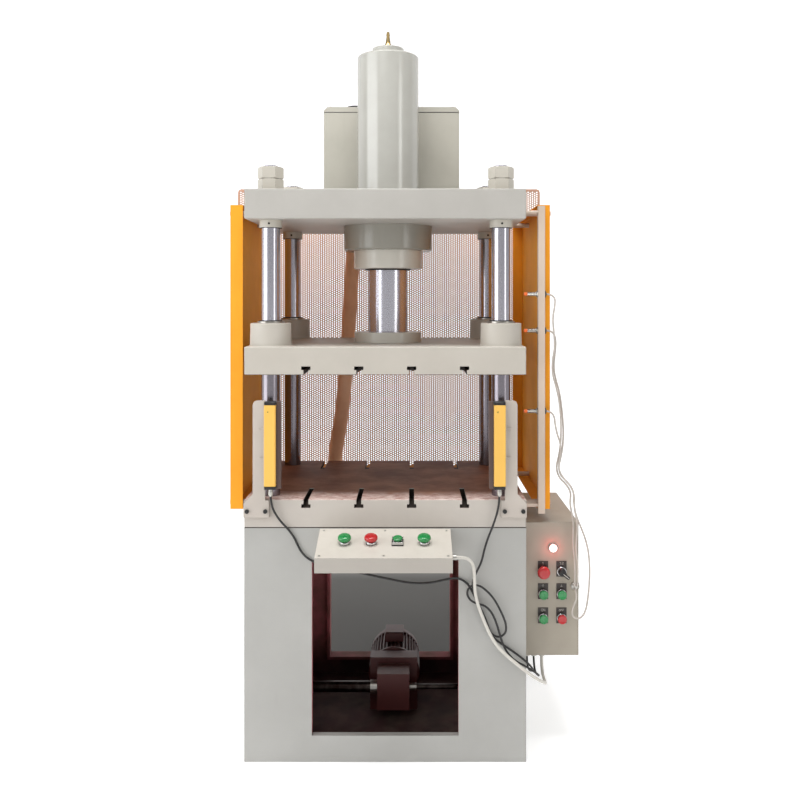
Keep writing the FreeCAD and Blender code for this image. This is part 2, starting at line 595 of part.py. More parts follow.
# ---------------------------------------------------------------------------------------------
# Guards
# ---------------------------------------------------------------------------------------------
def side_guard(name, direction, gap):
    """A sheet tray beside the frame, open towards the columns."""
    outer_x = f"{SIDE} + {gap}"
    space = "guard_flange - guard_sheet"
    low_x = f"{outer_x} + guard_sheet - guard_flange" if direction > 0 else f"-({outer_x} + guard_sheet)"
    inner_x = f"{low_x} - {OVER}" if direction > 0 else f"-({outer_x})"
    tray = box(f"{name}_outer", ("guard_flange", "guard_depth", "guard_height"),
               (low_x, "guard_front", "guard_bottom"))
    hollow = box(f"{name}_hollow",
                 (f"{space} + {OVER}", "guard_depth - 2 * guard_sheet",
                  "guard_height - 2 * guard_sheet"),
                 (inner_x, "guard_front + guard_sheet", "guard_bottom + guard_sheet"))
    holes = [rod(f"{name}_hole_{i}", "standoff_bolt + 2 * standoff_hole_gap", "guard_flange",
                 (f"{direction} * ({outer_x} - 5)", y, z), "+X" if direction > 0 else "-X")
             for i, (y, z) in enumerate(STANDOFFS)]
    return node(cut(f"{name}_cut", tray, hollow, *holes), name)


STAND_LOW = "guard_bottom + standoff_inset"
STAND_HIGH = "crown_level + 26"
STANDOFFS = [(y, z) for y in ("standoff_front", "standoff_rear") for z in (STAND_LOW, STAND_HIGH)]
side_guard("guard_left", -1, "left_guard_gap")
side_guard("guard_right", 1, "right_guard_gap")


def standoff(name, direction, gap, y, z):
    """A sleeve with a bolt through the guard, from the side of the frame outwards."""
    sleeve, bolt = "standoff_dia / 2", "standoff_bolt / 2"
    head = "standoff_dia / 2 - 1"
    reach = f"({gap} + guard_sheet)"
    return turned(name, [
        ("0", "0"), (sleeve, "0"), (sleeve, gap), (bolt, gap), (bolt, reach), (head, reach),
        (head, f"{reach} + standoff_head"), ("0", f"{reach} + standoff_head")],
        (f"{direction} * {SIDE}", y, z), "+X" if direction > 0 else "-X")


RAIL_X = f"({SIDE} + rail_gap)"
RAIL_MIDDLE = "rail_front + rail_width / 2"
node(group("standoff_group", [
    *(standoff(f"standoff_left_{i}", -1, "left_guard_gap", y, z)
      for i, (y, z) in enumerate(STANDOFFS)),
    *(standoff(f"standoff_right_{i}", 1, "right_guard_gap", y, z)
      for i, (y, z) in enumerate(STANDOFFS)),
    *(rod(f"rail_stud_{i}", "rail_stud_dia", "rail_gap", (SIDE, RAIL_MIDDLE, z), "+X")
      for i, z in enumerate((STAND_LOW, STAND_HIGH)))]), "guard_standoffs")

MESH_X = "(-mesh_width / 2 + mesh_shift)"
MESH_Y = "(guard_front + guard_depth)"
mesh_plates = [
    box("mesh_wide", ("mesh_width", "mesh_sheet", "mesh_height - 2 * mesh_corner"),
        (MESH_X, MESH_Y, "guard_bottom + mesh_corner")),
    box("mesh_tall", ("mesh_width - 2 * mesh_corner", "mesh_sheet", "mesh_height"),
        (f"{MESH_X} + mesh_corner", MESH_Y, "guard_bottom"))]
for i, (x, z) in enumerate(((x, z) for x in (f"{MESH_X} + mesh_corner",
                                             f"{MESH_X} + mesh_width - mesh_corner")
                            for z in ("guard_bottom + mesh_corner",
                                      "guard_bottom + mesh_height - mesh_corner"))):
    mesh_plates.append(rod(f"mesh_corner_{i}", "2 * mesh_corner", "mesh_sheet", (x, MESH_Y, z), "+Y"))
MESH_STEP = "((mesh_width - 2 * mesh_border) / mesh_columns)"
MESH_RISE = "((mesh_height - 2 * mesh_border) / mesh_rows)"
mesh_windows = [
    box(f"mesh_window_{column}_{row}", ("mesh_opening", "3 * mesh_sheet", "mesh_opening"),
        (f"{MESH_X} + mesh_border + {column + 0.5} * {MESH_STEP} - mesh_opening / 2",
         f"{MESH_Y} - mesh_sheet",
         f"guard_bottom + mesh_border + {row + 0.5} * {MESH_RISE} - mesh_opening / 2"))
    for column in range(SIZES["mesh_columns"]) for row in range(SIZES["mesh_rows"])]
node(cut("mesh_cut", joined("mesh_body", *mesh_plates), group("mesh_grid", mesh_windows)),
     "rear_mesh_guard")

# ---------------------------------------------------------------------------------------------
# Sensor rail and proximity sensors
# ---------------------------------------------------------------------------------------------
SENSOR_LEVELS = ("sensor_high", "sensor_middle", "sensor_low")
node(cut("rail_cut",
         box("rail_bar", ("rail_width", "rail_width", "rail_height"),
             (RAIL_X, "rail_front", "rail_bottom")),
         *(rod(f"rail_hole_{i}", "sensor_dia + 2 * sensor_fit", f"rail_width + 2 * {OVER}",
               (f"{RAIL_X} - {OVER}", RAIL_MIDDLE, z), "+X")
           for i, z in enumerate(SENSOR_LEVELS))), "sensor_rail")
sensors = []
for i, z in enumerate(SENSOR_LEVELS):
    sensor_r = "sensor_dia / 2"
    sensors.append(turned(f"sensor_{i}", [
        ("0", "0"), (f"{sensor_r} - 1", "0"), (f"{sensor_r} - 1", "sensor_tip"),
        (sensor_r, "sensor_tip"), (sensor_r, "sensor_length - 6"),
        (f"{sensor_r} - 2", "sensor_length"), ("0", "sensor_length")],
        (f"{SIDE} + sensor_gap", RAIL_MIDDLE, z), "+X"))
    for side, x in (("near", f"{RAIL_X} - sensor_nut_height"), ("far", f"{RAIL_X} + rail_width")):
        sensors.append(hex_nut(f"sensor_nut_{side}_{i}", "sensor_nut", "sensor_dia",
                               "sensor_nut_height", "1", (x, RAIL_MIDDLE, z), "+X"))
node(group("sensor_group", sensors), "proximity_sensors")

# ---------------------------------------------------------------------------------------------
# Light curtains on their brackets
# ---------------------------------------------------------------------------------------------
CURTAIN_FRONT = f"({FRONT} - curtain_gap - curtain_depth)"
PLATE_Y = f"({FRONT} - 2 * bracket_sheet)"
FOOT_H = f"({TABLE_TOP} - bracket_bottom)"
bracket_pieces = []
for side, sign in (("left", -1), ("right", 1)):
    centre = f"{sign} * curtain_x"
    node(joined(
        f"curtain_{side}_body",
        box(f"curtain_{side}_bar", ("curtain_width - 2 * curtain_cap_inset",
                                    "curtain_depth - 2 * curtain_cap_inset",
                                    "curtain_height - 2 * curtain_cap"),
            (f"{centre} - curtain_width / 2 + curtain_cap_inset",
             f"{CURTAIN_FRONT} + curtain_cap_inset", "curtain_bottom + curtain_cap")),
        *(box(f"curtain_{side}_cap_{i}", ("curtain_width", "curtain_depth", "curtain_cap"),
              (f"{centre} - curtain_width / 2", CURTAIN_FRONT, z))
          for i, z in enumerate(("curtain_bottom",
                                 "curtain_bottom + curtain_height - curtain_cap"))),
        rod(f"curtain_{side}_connector", "connector_dia", "connector_length + 2",
            (centre, f"{CURTAIN_FRONT} + curtain_depth / 2", "curtain_bottom - connector_length"))),
        f"light_curtain_{side}")

    def across(low, high):
        """The lower corner of a stretch that is given outwards from the middle."""
        return low if sign > 0 else f"-({high})"

    edge = "(curtain_x + curtain_width / 2)"
    upright = plate(f"upright_{side}", [
        (f"{sign} * ({x})", z) for x, z in (
            ("foot_inner", "0"), ("foot_outer", "0"), ("foot_outer", f"{FOOT_H} - shoulder / 2"),
            ("bracket_outer", f"{FOOT_H} + shoulder"),
            ("bracket_outer", "bracket_top - bracket_bottom - bracket_corner"),
            ("bracket_outer - 0.3 * bracket_corner",
             "bracket_top - bracket_bottom - 0.3 * bracket_corner"),
            ("bracket_outer - bracket_corner", "bracket_top - bracket_bottom"),
            (edge, "bracket_top - bracket_bottom"), (edge, FOOT_H), ("foot_inner", FOOT_H))],
        "bracket_sheet", ("0", f"{PLATE_Y} + bracket_sheet / 2", "bracket_bottom"))
    pad = box(f"pad_{side}", ("foot_outer - foot_inner", "bracket_sheet",
                              f"{TABLE_TOP} - bracket_bottom - edge_break"),
              (across("foot_inner", "foot_outer"), f"{FRONT} - bracket_sheet", "bracket_bottom"))
    leg = box(f"leg_{side}", ("bracket_leg", "bracket_leg_depth", "curtain_height"),
              (across(edge, f"{edge} + bracket_leg"), f"{PLATE_Y} - bracket_leg_depth",
               "curtain_bottom"))
    bracket_pieces.append(joined(f"bracket_{side}", upright, pad, leg))
    for i, x in enumerate(("foot_inner + bracket_sheet + 4", "foot_outer - bracket_sheet - 4")):
        bracket_pieces.append(rod(f"foot_screw_{side}_{i}", "foot_screw_dia", "foot_screw_height",
                                  (f"{sign} * ({x})", PLATE_Y, "bracket_bottom + 18"), "-Y"))
    inner_edge = "(curtain_x - curtain_width / 2 - bracket_inner_leg)"
    bracket_pieces.append(box(
        f"inner_leg_{side}", ("bracket_inner_leg", "curtain_depth / 2", "curtain_height"),
        (across(inner_edge, f"{inner_edge} + bracket_inner_leg"),
         f"{CURTAIN_FRONT} + curtain_depth / 2", "curtain_bottom")))
node(group("bracket_group", bracket_pieces), "curtain_brackets")

# ---------------------------------------------------------------------------------------------
# Push buttons: a bezel that stays in the panel and a head that moves in it
# ---------------------------------------------------------------------------------------------
BUTTON_BORE = "button_bore / 2"
HEAD_LEVEL = "(bezel_height + button_travel + button_gap)"


def bezel(name, at, turn):
    """The ring and the neck that hold a button in its panel."""
    return turned(name, [
        (BUTTON_BORE, "-button_neck_length"), ("button_neck / 2", "-button_neck_length"),
        ("button_neck / 2", "0"), ("bezel_dia / 2", "0"), ("bezel_dia / 2", "bezel_height - 1.5"),
        ("bezel_dia / 2 - 1.5", "bezel_height"), (BUTTON_BORE, "bezel_height")], at, turn)


def head(name, dia, height, at, turn):
    """A button's stem with its cap, rounded at the rim."""
    stem, rim, top = "button_stem / 2", f"({dia}) / 2", f"({HEAD_LEVEL} + {height})"
    return node(turned(f"{name}_body", [
        ("0", "-button_neck_length"), (stem, "-button_neck_length"), (stem, HEAD_LEVEL),
        (f"{rim} - 1.5", HEAD_LEVEL), (rim, f"{HEAD_LEVEL} + 1.5"),
        (rim, f"{top} - {height} * 0.55"), (f"{rim} - 1", f"{top} - {height} * 0.3"),
        (f"{rim} * 0.8", f"{top} - {height} * 0.1"), (f"{rim} * 0.55", top), ("0", top)],
        at, turn), name)


bezels = []

# ---------------------------------------------------------------------------------------------
# Console on the front of the base
# ---------------------------------------------------------------------------------------------
SLOPE = math.degrees(math.atan2(SIZES["console_back"] - SIZES["console_front"],
                                SIZES["console_depth"]))
SLOPE_TURN = Rotation(Vector(1, 0, 0), SLOPE)
INSET = "console_sheet"
console_outer = folded("console_outer", [
    ("0", "0"), ("0", "console_back"), ("-console_depth", "console_front"),
    ("-console_depth", "0")], "console_length", ("0", FRONT, "console_bottom"))
console_inner = folded("console_inner", [
    (f"-{INSET}", INSET), (f"-{INSET}", f"console_back - {INSET} * 1.6"),
    (f"-console_depth + {INSET}", f"console_front - {INSET} * 0.6"),
    (f"-console_depth + {INSET}", INSET)], f"console_length - 2 * {INSET}",
    ("0", FRONT, "console_bottom"))
CONSOLE_Y = f"({FRONT} - console_button_reach)"
CONSOLE_Z = ("(console_bottom + console_back - console_button_reach"
             " * (console_back - console_front) / console_depth)")
CONSOLE_BUTTONS = [
    ("two_hand_button_left", "-1.5", "palm_dia", "palm_height"),
    ("console_stop_button", "-0.5", "palm_dia", "palm_height"),
    ("console_start_button", "0.5", "cap_button_dia", "cap_button_height"),
    ("two_hand_button_right", "1.5", "palm_dia", "palm_height"),
]
console_holes = []
for name, along, dia, height in CONSOLE_BUTTONS:
    place = (f"{along} * console_button_pitch", CONSOLE_Y, CONSOLE_Z)
    bezels.append(bezel(f"{name}_bezel", place, SLOPE_TURN))
    head(name, dia, height, place, SLOPE_TURN)
    drill = turned(f"{name}_drill", [
        ("0", "-3 * console_sheet"), ("button_hole / 2", "-3 * console_sheet"),
        ("button_hole / 2", "3 * console_sheet"), ("0", "3 * console_sheet")], place, SLOPE_TURN)
    console_holes.append(drill)
CONDUIT_HOLE = rod("conduit_hole", "grey_cable_dia + 4", "4 * console_sheet",
                   ("console_length / 2 - 3 * console_sheet", f"{FRONT} - 100",
                    "console_bottom + 28"), "+X")
node(cut("console_cut", console_outer, console_inner, CONDUIT_HOLE, *console_holes),
     "console_box")

# ---------------------------------------------------------------------------------------------
# Control cabinet beside the base
# ---------------------------------------------------------------------------------------------
CAB_BACK = "(cabinet_front + cabinet_depth)"
CAB_RIGHT = f"({SIDE} + cabinet_width)"
CAB_TOP = "(cabinet_bottom + cabinet_height)"
LABEL_Y = "(cabinet_front - label_thickness)"
CABINET_BUTTONS = [
    ("cabinet_stop_button", "button_column_near", "row_high", "palm_dia", "palm_height"),
    ("selector_knob", "button_column_far", "row_high", "", ""),
    ("slide_up_button", "button_column_near", "row_middle", "cap_button_dia", "cap_button_height"),
    ("slide_down_button", "button_column_far", "row_middle", "cap_button_dia",
     "cap_button_height"),
    ("pump_start_button", "button_column_near", "row_low", "cap_button_dia", "cap_button_height"),
    ("pump_stop_button", "button_column_far", "row_low", "cap_button_dia", "cap_button_height"),
]
labels = []
cabinet_holes = []
for name, column, row, dia, height in CABINET_BUTTONS:
    x = f"{SIDE} + {column}"
    drill_at = (x, f"cabinet_front + 2 * cabinet_sheet", row)
    cabinet_holes.append(rod(f"{name}_drill", "button_hole", "4 * cabinet_sheet", drill_at, "-Y"))
    labels.append(cut(
        f"{name}_label",
        box(f"{name}_label_plate", ("label_width", "label_thickness", "label_drop + label_rise"),
            (f"{x} - label_width / 2", LABEL_Y, f"{row} - label_drop")),
        rod(f"{name}_label_hole", "button_hole", "4 * label_thickness",
            (x, f"cabinet_front + label_thickness", row), "-Y")))
    bezels.append(bezel(f"{name}_bezel", (x, LABEL_Y, row), "-Y"))
    if name != "selector_knob":
        head(name, dia, height, (x, LABEL_Y, row), "-Y")

KNOB_LEVEL = "(bezel_height + button_gap)"
knob_place = (f"{SIDE} + button_column_far", LABEL_Y, "row_high")
knob_body = turned("knob_turned", [
    ("0", "-button_neck_length"), ("button_stem / 2", "-button_neck_length"),
    ("button_stem / 2", KNOB_LEVEL), ("knob_dia / 2", KNOB_LEVEL),
    ("knob_dia / 2", f"{KNOB_LEVEL} + knob_height * 0.6"),
    ("knob_dia / 2 - 3", f"{KNOB_LEVEL} + knob_height"), ("0", f"{KNOB_LEVEL} + knob_height")],
    knob_place, "-Y")
LEVER_TURN = Rotation(Vector(0, 1, 0), 40)
lever = box("lever_bar", ("lever_length", "knob_height * 0.8", "lever_width"),
            ("0", "0", "0"))
lever.Placement = Placement(Vector(), LEVER_TURN)
lever_across = math.sin(math.radians(40)) * 0.5
lever_along = math.cos(math.radians(40)) * 0.5
bind(lever,
     Placement__Base__x=f"{knob_place[0]} - lever_width * {lever_across} - 8 * {2 * lever_along}",
     Placement__Base__y=f"{LABEL_Y} - {KNOB_LEVEL} - knob_height * 1.3",
     Placement__Base__z=f"row_high - lever_width * {lever_along} + 8 * {2 * lever_across}")
node(joined("knob_body", knob_body, lever), "selector_knob")

LAMP = (f"{SIDE} + lamp_x", "cabinet_front", "lamp_level")
node(turned("lamp_body", [
    ("0", "-button_neck_length"), ("button_neck / 2", "-button_neck_length"),
    ("button_neck / 2", "0"), ("lamp_dia / 2", "0"), ("lamp_dia / 2", "lamp_height * 0.5"),
    ("lamp_dia / 2 - 2", "lamp_height * 0.6"), ("lamp_dia / 2 - 4", "lamp_height * 0.9"),
    ("lamp_dia / 4", "lamp_height"), ("0", "lamp_height")], LAMP, "-Y"), "pilot_lamp")
node(group("label_group", labels), "label_plates")
node(group("bezel_group", bezels), "button_bezels")

KNUCKLE_R = "hinge_knuckle_dia / 2"
DOOR_X = f"({CAB_RIGHT} + door_gap)"
HINGE_X = f"({DOOR_X} + door_sheet + {KNUCKLE_R})"
HINGE_Y = f"({CAB_BACK} + {KNUCKLE_R})"
HINGE_LEVELS = ("cabinet_bottom + hinge_inset", f"{CAB_TOP} - hinge_inset - hinge_length")
HALF = "hinge_length / 2"
shell_leaves = []
door_leaves = []
door_bores = []
for i, z in enumerate(HINGE_LEVELS):
    shell_leaves += [
        rod(f"shell_knuckle_{i}", "hinge_knuckle_dia", HALF, (HINGE_X, HINGE_Y, z)),
        rod(f"hinge_pin_{i}", "hinge_pin_dia", "hinge_length", (HINGE_X, HINGE_Y, z)),
        box(f"shell_leaf_{i}", (f"leaf_width + {KNUCKLE_R} + door_sheet + door_gap", "leaf_sheet",
                                HALF),
            (f"{CAB_RIGHT} - leaf_width", CAB_BACK, z))]
    upper = f"{z} + {HALF} + door_gap"
    door_leaves += [
        rod(f"door_knuckle_{i}", "hinge_knuckle_dia", f"{HALF} - door_gap",
            (HINGE_X, HINGE_Y, upper)),
        box(f"door_leaf_{i}", ("leaf_sheet", f"leaf_width + {KNUCKLE_R}", f"{HALF} - door_gap"),
            (f"{DOOR_X} + door_sheet", f"{CAB_BACK} - leaf_width", upper))]
    door_bores.append(rod(f"door_bore_{i}", "hinge_pin_dia + 2 * hinge_fit",
                          f"{HALF} + {OVER}", (HINGE_X, HINGE_Y, upper)))

LAMP_HOLE = rod("lamp_drill", "button_hole", "4 * cabinet_sheet",
                (LAMP[0], "cabinet_front + 2 * cabinet_sheet", LAMP[2]), "-Y")
GLAND_X, GLAND_Z = f"({SIDE} + 152)", "(row_high - 42)"
ENTRY_Y = "(cabinet_front + 34)"
LEFT_ENTRY, RIGHT_ENTRY, CONDUIT_ENTRY = f"{SIDE} + 18", f"{SIDE} + 38", f"{SIDE} + 62"
ENTRIES = [
    rod("sensor_entry", "gland_neck_dia + 2 * button_gap", "4 * cabinet_sheet",
        (GLAND_X, "cabinet_front + 2 * cabinet_sheet", GLAND_Z), "-Y"),
    *(rod(f"bottom_entry_{i}", "gland_neck_dia + 2 * button_gap", "4 * cabinet_sheet",
          (x, ENTRY_Y, "cabinet_bottom + 2 * cabinet_sheet"), "-Z")
      for i, x in enumerate((LEFT_ENTRY, RIGHT_ENTRY, CONDUIT_ENTRY)))
]
cabinet = cut(
    "cabinet_box",
    box("cabinet_outer", ("cabinet_width", "cabinet_depth", "cabinet_height"),
        (SIDE, "cabinet_front", "cabinet_bottom")),
    box("cabinet_inner", (f"cabinet_width - cabinet_sheet + {OVER}",
                          "cabinet_depth - 2 * cabinet_sheet",
                          "cabinet_height - 2 * cabinet_sheet"),
        (f"{SIDE} + cabinet_sheet", "cabinet_front + cabinet_sheet",
         "cabinet_bottom + cabinet_sheet")),
    LAMP_HOLE, *ENTRIES, *cabinet_holes)
node(joined("cabinet_body", cabinet, *shell_leaves), "cabinet_shell")

LOCK = (f"{DOOR_X} + door_sheet", "cabinet_front + lock_inset",
        "cabinet_bottom + cabinet_height / 2")
LOCK_BORE = "lock_shaft_dia + 2 * lock_fit"
door_plate = joined(
    "door_plate",
    box("door_sheet_body", ("door_sheet", "cabinet_depth", "cabinet_height"),
        (DOOR_X, "cabinet_front", "cabinet_bottom")), *door_leaves)
node(cut("door_body", door_plate, *door_bores,
         rod("lock_hole", LOCK_BORE, "4 * door_sheet",
             (f"{LOCK[0]} - 2 * door_sheet", LOCK[1], LOCK[2]), "+X")), "cabinet_door")
CAM_X = f"{DOOR_X} - lock_fit - cam_sheet"
node(joined(
    "lock_body",
    rod("lock_shaft", "lock_shaft_dia", "door_sheet + 2 * lock_fit + cam_sheet",
        (CAM_X, LOCK[1], LOCK[2]), "+X"),
    rod("lock_head", "lock_dia", "lock_height", (f"{LOCK[0]} + lock_fit", LOCK[1], LOCK[2]), "+X"),
    box("lock_cam", ("cam_sheet", "lock_shaft_dia", "cam_length"),
        (CAM_X, f"{LOCK[1]} - lock_shaft_dia / 2", LOCK[2]))), "door_lock")
PLATE_X = f"({SIDE} + cabinet_sheet)"
node(joined(
    "gear_body",
    box("gear_plate", ("gear_sheet", "cabinet_depth - gear_margin",
                       "cabinet_height - gear_margin"),
        (PLATE_X, "cabinet_front + gear_front", "cabinet_bottom + gear_margin / 2")),
    *(box(f"gear_block_{i}", ("gear_block_width", "cabinet_depth - gear_block_margin",
                              "gear_block_height"),
          (PLATE_X, "cabinet_front + gear_block_front",
           f"cabinet_bottom + gear_block_low + {i} * gear_block_pitch"))
      for i in range(3))), "control_gear")

# ---------------------------------------------------------------------------------------------
# Pipes, hose and cables: round tubes along straight runs joined by tangent arcs
# ---------------------------------------------------------------------------------------------
def tube(name, dia, points, bend=None):
    """A solid tube.  Each corner's arc is as large as its runs allow, or of a given radius."""
    corners = [Vector(*point) for point in points]
    edges, radii = [], []
    start = corners[0]
    for before, corner, after in zip(corners, corners[1:], corners[2:]):
        come, go = corner - before, after - corner
        half = come.getAngle(go) / 2
        radius = 0.45 * min(come.Length, go.Length) / math.tan(half)
        if bend is not None:
            radius = min(radius, bend)
        step = radius * math.tan(half)
        come.normalize()
        go.normalize()
        first, last = corner - come * step, corner + go * step
        inward = go - come
        inward.normalize()
        middle = corner + inward * (radius / math.cos(half) - radius)
        edges.append(Part.LineSegment(start, first).toShape())
        edges.append(Part.Arc(first, middle, last).toShape())
        radii.append(radius)
        start = last
    edges.append(Part.LineSegment(start, corners[-1]).toShape())
    path = Part.Wire(edges)
    ring = Part.Wire([Part.Circle(corners[0], corners[1] - corners[0], dia / 2).toShape()])
    solid = path.makePipeShell([ring], True, False)
    section = math.pi * dia * dia / 4 * path.Length
    print(f"{name}: length {path.Length:.0f} mm, radii {min(radii):.0f} to {max(radii):.0f} mm,"
          f" volume / (section x length) {solid.Volume / section:.4f}")
    return solid


def kept_shape(name, shape):
    """A shape that has no feature of its own, kept as a node."""
    thing = doc.addObject("Part::Feature", name)
    thing.Shape = shape
    return node(thing, name)


CABLES = {
    "suction_hose": ("hose_dia", [
        (-131, 332, 1592), (-131, 332, 1505), (-139, 332, 1390), (-151, 333, 1171), (-162, 332, 1020),
        (-175, 332, 885), (SIZES["hose_entry"], 332, 765), (SIZES["hose_entry"], 332, 690),]),
    "console_conduit": ("grey_cable_dia", [
        (197, -400, 610), (219, -400, 610), (238, -393, 598), (247, -378, 572), (249, -359, 534),
        (251, -347, 500), (258, -338, 466), (269, -333, 434), (282, -331, 401), (297, -331, 368),
        (316, -331, 339), (342, -330, 313), (371, -329, 289), (400, -327, 265), (427, -317, 243),
        (449, -294, 224), (461, -264, 208), (464, -233, 199), (463, -207, 200), (462, -186, 210),
        (462, -176, 231), (462, -176, 253),]),
    "cable_curtain_left": ("black_cable_dia", [
        (-322, -319, 758), (-321, -318, 736), (-311, -314, 709), (-294, -309, 683), (-273, -306, 661),
        (-256, -305, 636), (-244, -305, 608), (-226, -305, 583), (-198, -305, 567), (-160, -305, 559),
        (-119, -306, 550), (-78, -305, 540), (-36, -306, 531), (7, -305, 522), (49, -306, 513),
        (92, -305, 508), (135, -306, 511), (172, -305, 520), (205, -305, 525), (231, -305, 511),
        (246, -305, 487), (259, -305, 459), (274, -305, 430), (287, -305, 401), (297, -305, 370),
        (311, -305, 349), (336, -305, 333), (362, -306, 316), (386, -308, 299), (407, -305, 280),
        (420, -293, 261), (424, -268, 246), (422, -241, 234), (420, -215, 225), (418, -194, 226),
        (418, -180, 237), (418, -176, 253),]),
    "cable_curtain_right": ("black_cable_dia", [
        (322, -319, 758), (321, -318, 734), (314, -316, 703), (303, -314, 670), (290, -313, 638),
        (280, -313, 606), (273, -313, 573), (259, -313, 545), (247, -313, 519), (247, -313, 491),
        (258, -313, 463), (270, -313, 436), (281, -312, 410), (289, -312, 384), (303, -312, 364),
        (324, -312, 358), (341, -313, 371), (342, -314, 394), (333, -315, 419), (321, -316, 444),
        (307, -317, 469), (288, -319, 491), (266, -320, 508), (242, -321, 509), (229, -322, 490),
        (237, -323, 468), (258, -323, 457), (281, -322, 452), (299, -321, 434), (312, -320, 407),
        (321, -319, 377), (330, -319, 346), (344, -319, 317), (366, -319, 295), (393, -318, 281),
        (418, -313, 264), (435, -298, 247), (440, -272, 233), (440, -243, 224), (439, -216, 217),
        (438, -195, 222), (438, -180, 236), (438, -176, 253),]),
    "sensor_cable_high": ("sensor_cable_dia", [
        (470, -215, 1328), (484, -217, 1327), (495, -222, 1315), (493, -227, 1293), (486, -230, 1257),
        (490, -231, 1214), (493, -231, 1174), (486, -230, 1136), (485, -230, 1096), (496, -230, 1059),
        (505, -230, 1020), (509, -230, 980), (511, -230, 939), (510, -230, 898), (505, -230, 859),
        (496, -230, 825), (503, -230, 794), (526, -230, 773), (540, -230, 749), (536, -230, 718),
        (542, -230, 689), (547, -230, 657), (545, -232, 623), (545, -236, 588), (549, -240, 554),
        (549, -243, 522), (548, -244, 502), (548, -244, 486), (548, -234, 476), (548, -220, 476),]),
    "sensor_cable_middle": ("sensor_cable_dia", [
        (470, -215, 1221), (484, -217, 1220), (494, -221, 1208), (497, -222, 1186), (494, -222, 1152),
        (490, -222, 1117), (495, -223, 1082), (506, -223, 1047), (512, -223, 1009), (516, -223, 970),
        (519, -223, 931), (518, -223, 892), (512, -223, 854), (504, -223, 822), (511, -223, 796),
        (533, -223, 777), (549, -223, 752), (549, -223, 718), (554, -223, 686), (566, -223, 655),
        (579, -224, 624), (589, -225, 590), (594, -226, 553), (595, -227, 514), (593, -228, 475),
        (589, -229, 438), (583, -231, 406), (569, -234, 384), (549, -238, 384), (539, -242, 401),
        (544, -244, 423), (552, -244, 440), (553, -244, 456), (552, -234, 466), (552, -220, 466),]),
    "sensor_cable_low": ("sensor_cable_dia", [
        (470, -215, 985), (483, -218, 983), (492, -224, 971), (493, -231, 950), (498, -236, 921),
        (508, -237, 894), (509, -237, 864), (502, -237, 837), (505, -237, 809), (522, -237, 786),
        (541, -237, 765), (549, -237, 738), (547, -238, 709), (553, -238, 681), (557, -239, 650),
        (554, -240, 618), (552, -242, 585), (556, -244, 552), (557, -244, 522), (556, -245, 502),
        (556, -244, 486), (556, -234, 476), (556, -220, 476),]),
}
for name, (size, route) in CABLES.items():
    kept_shape(name, tube(name, SIZES[size], route))

UNION = SIZES["union_length"]
HALF_DEPTH = SIZES["plate_depth"] / 2
CROWN_Z = SIZES["crown_level"] + SIZES["crown_thickness"]
RING_Z = SIZES["crown_level"] - SIZES["ring_height"]
ROD_PORT_Z = RING_Z - SIZES["gland_height"] + SIZES["rod_port_rise"]
HEAD_PORT_Z = SIZES["barrel_top"] - SIZES["head_port_drop"]
BLOCK_TOP = SIZES["block_level"] + SIZES["block_height"] + UNION
BARREL_REAR = SIZES["barrel_dia"] / 2
HEAD_Y = BARREL_REAR + SIZES["head_port_gap"]
ROD_BOSS_Y = SIZES["gland_dia"] / 2 + SIZES["port_boss_reach"]
PIPE_Y = HALF_DEPTH + SIZES["pipe_gap"]
ROD_PIPE_Y = HALF_DEPTH + SIZES["rod_pipe_gap"]
RISE = [SIZES["block_x"] + SIZES[name] for name in ("rod_riser", "head_riser", "return_riser")]
ROD_PIPE_Z = CROWN_Z - SIZES["rod_pipe_drop"]
HEAD_PIPE_X, HEAD_PIPE_Z = SIZES["head_pipe_reach"], CROWN_Z + SIZES["head_pipe_rise"]
RETURN_X, RETURN_Z = SIZES["return_reach"], CROWN_Z - SIZES["return_drop"]
RETURN_Y, TANK_PORT_Y = PIPE_Y + SIZES["return_gap"], PIPE_Y + SIZES["tank_port_gap"]
PRESSURE_Y = PIPE_Y + SIZES["pressure_gap"]
SUCTION_X, SUCTION_Y = -SIZES["suction_reach"], SIZES["suction_depth"]
PUMP_Y = SIZES["motor_front"] - SIZES["bell_length"] - SIZES["pump_length"] / 2
PUMP_Z = SIZES["motor_axis_height"]
PUMP_SIDE = SIZES["pump_width"] / 2 + UNION
PRESSURE_X = SIZES["block_x"] - SIZES["pressure_inset"]
BLOCK_PORT_X = PRESSURE_X + SIZES["pressure_reach"]
HOSE_X, HOSE_Y = CABLES["suction_hose"][1][-1][:2]
ELBOW_Z = SIZES["base_height"] - SIZES["elbow_drop"]
INSIDE_Y = HALF_DEPTH - SIZES["base_wall"] - SIZES["inside_gap"]
PIPE_BEND = 2.5 * SIZES["pipe_dia"]
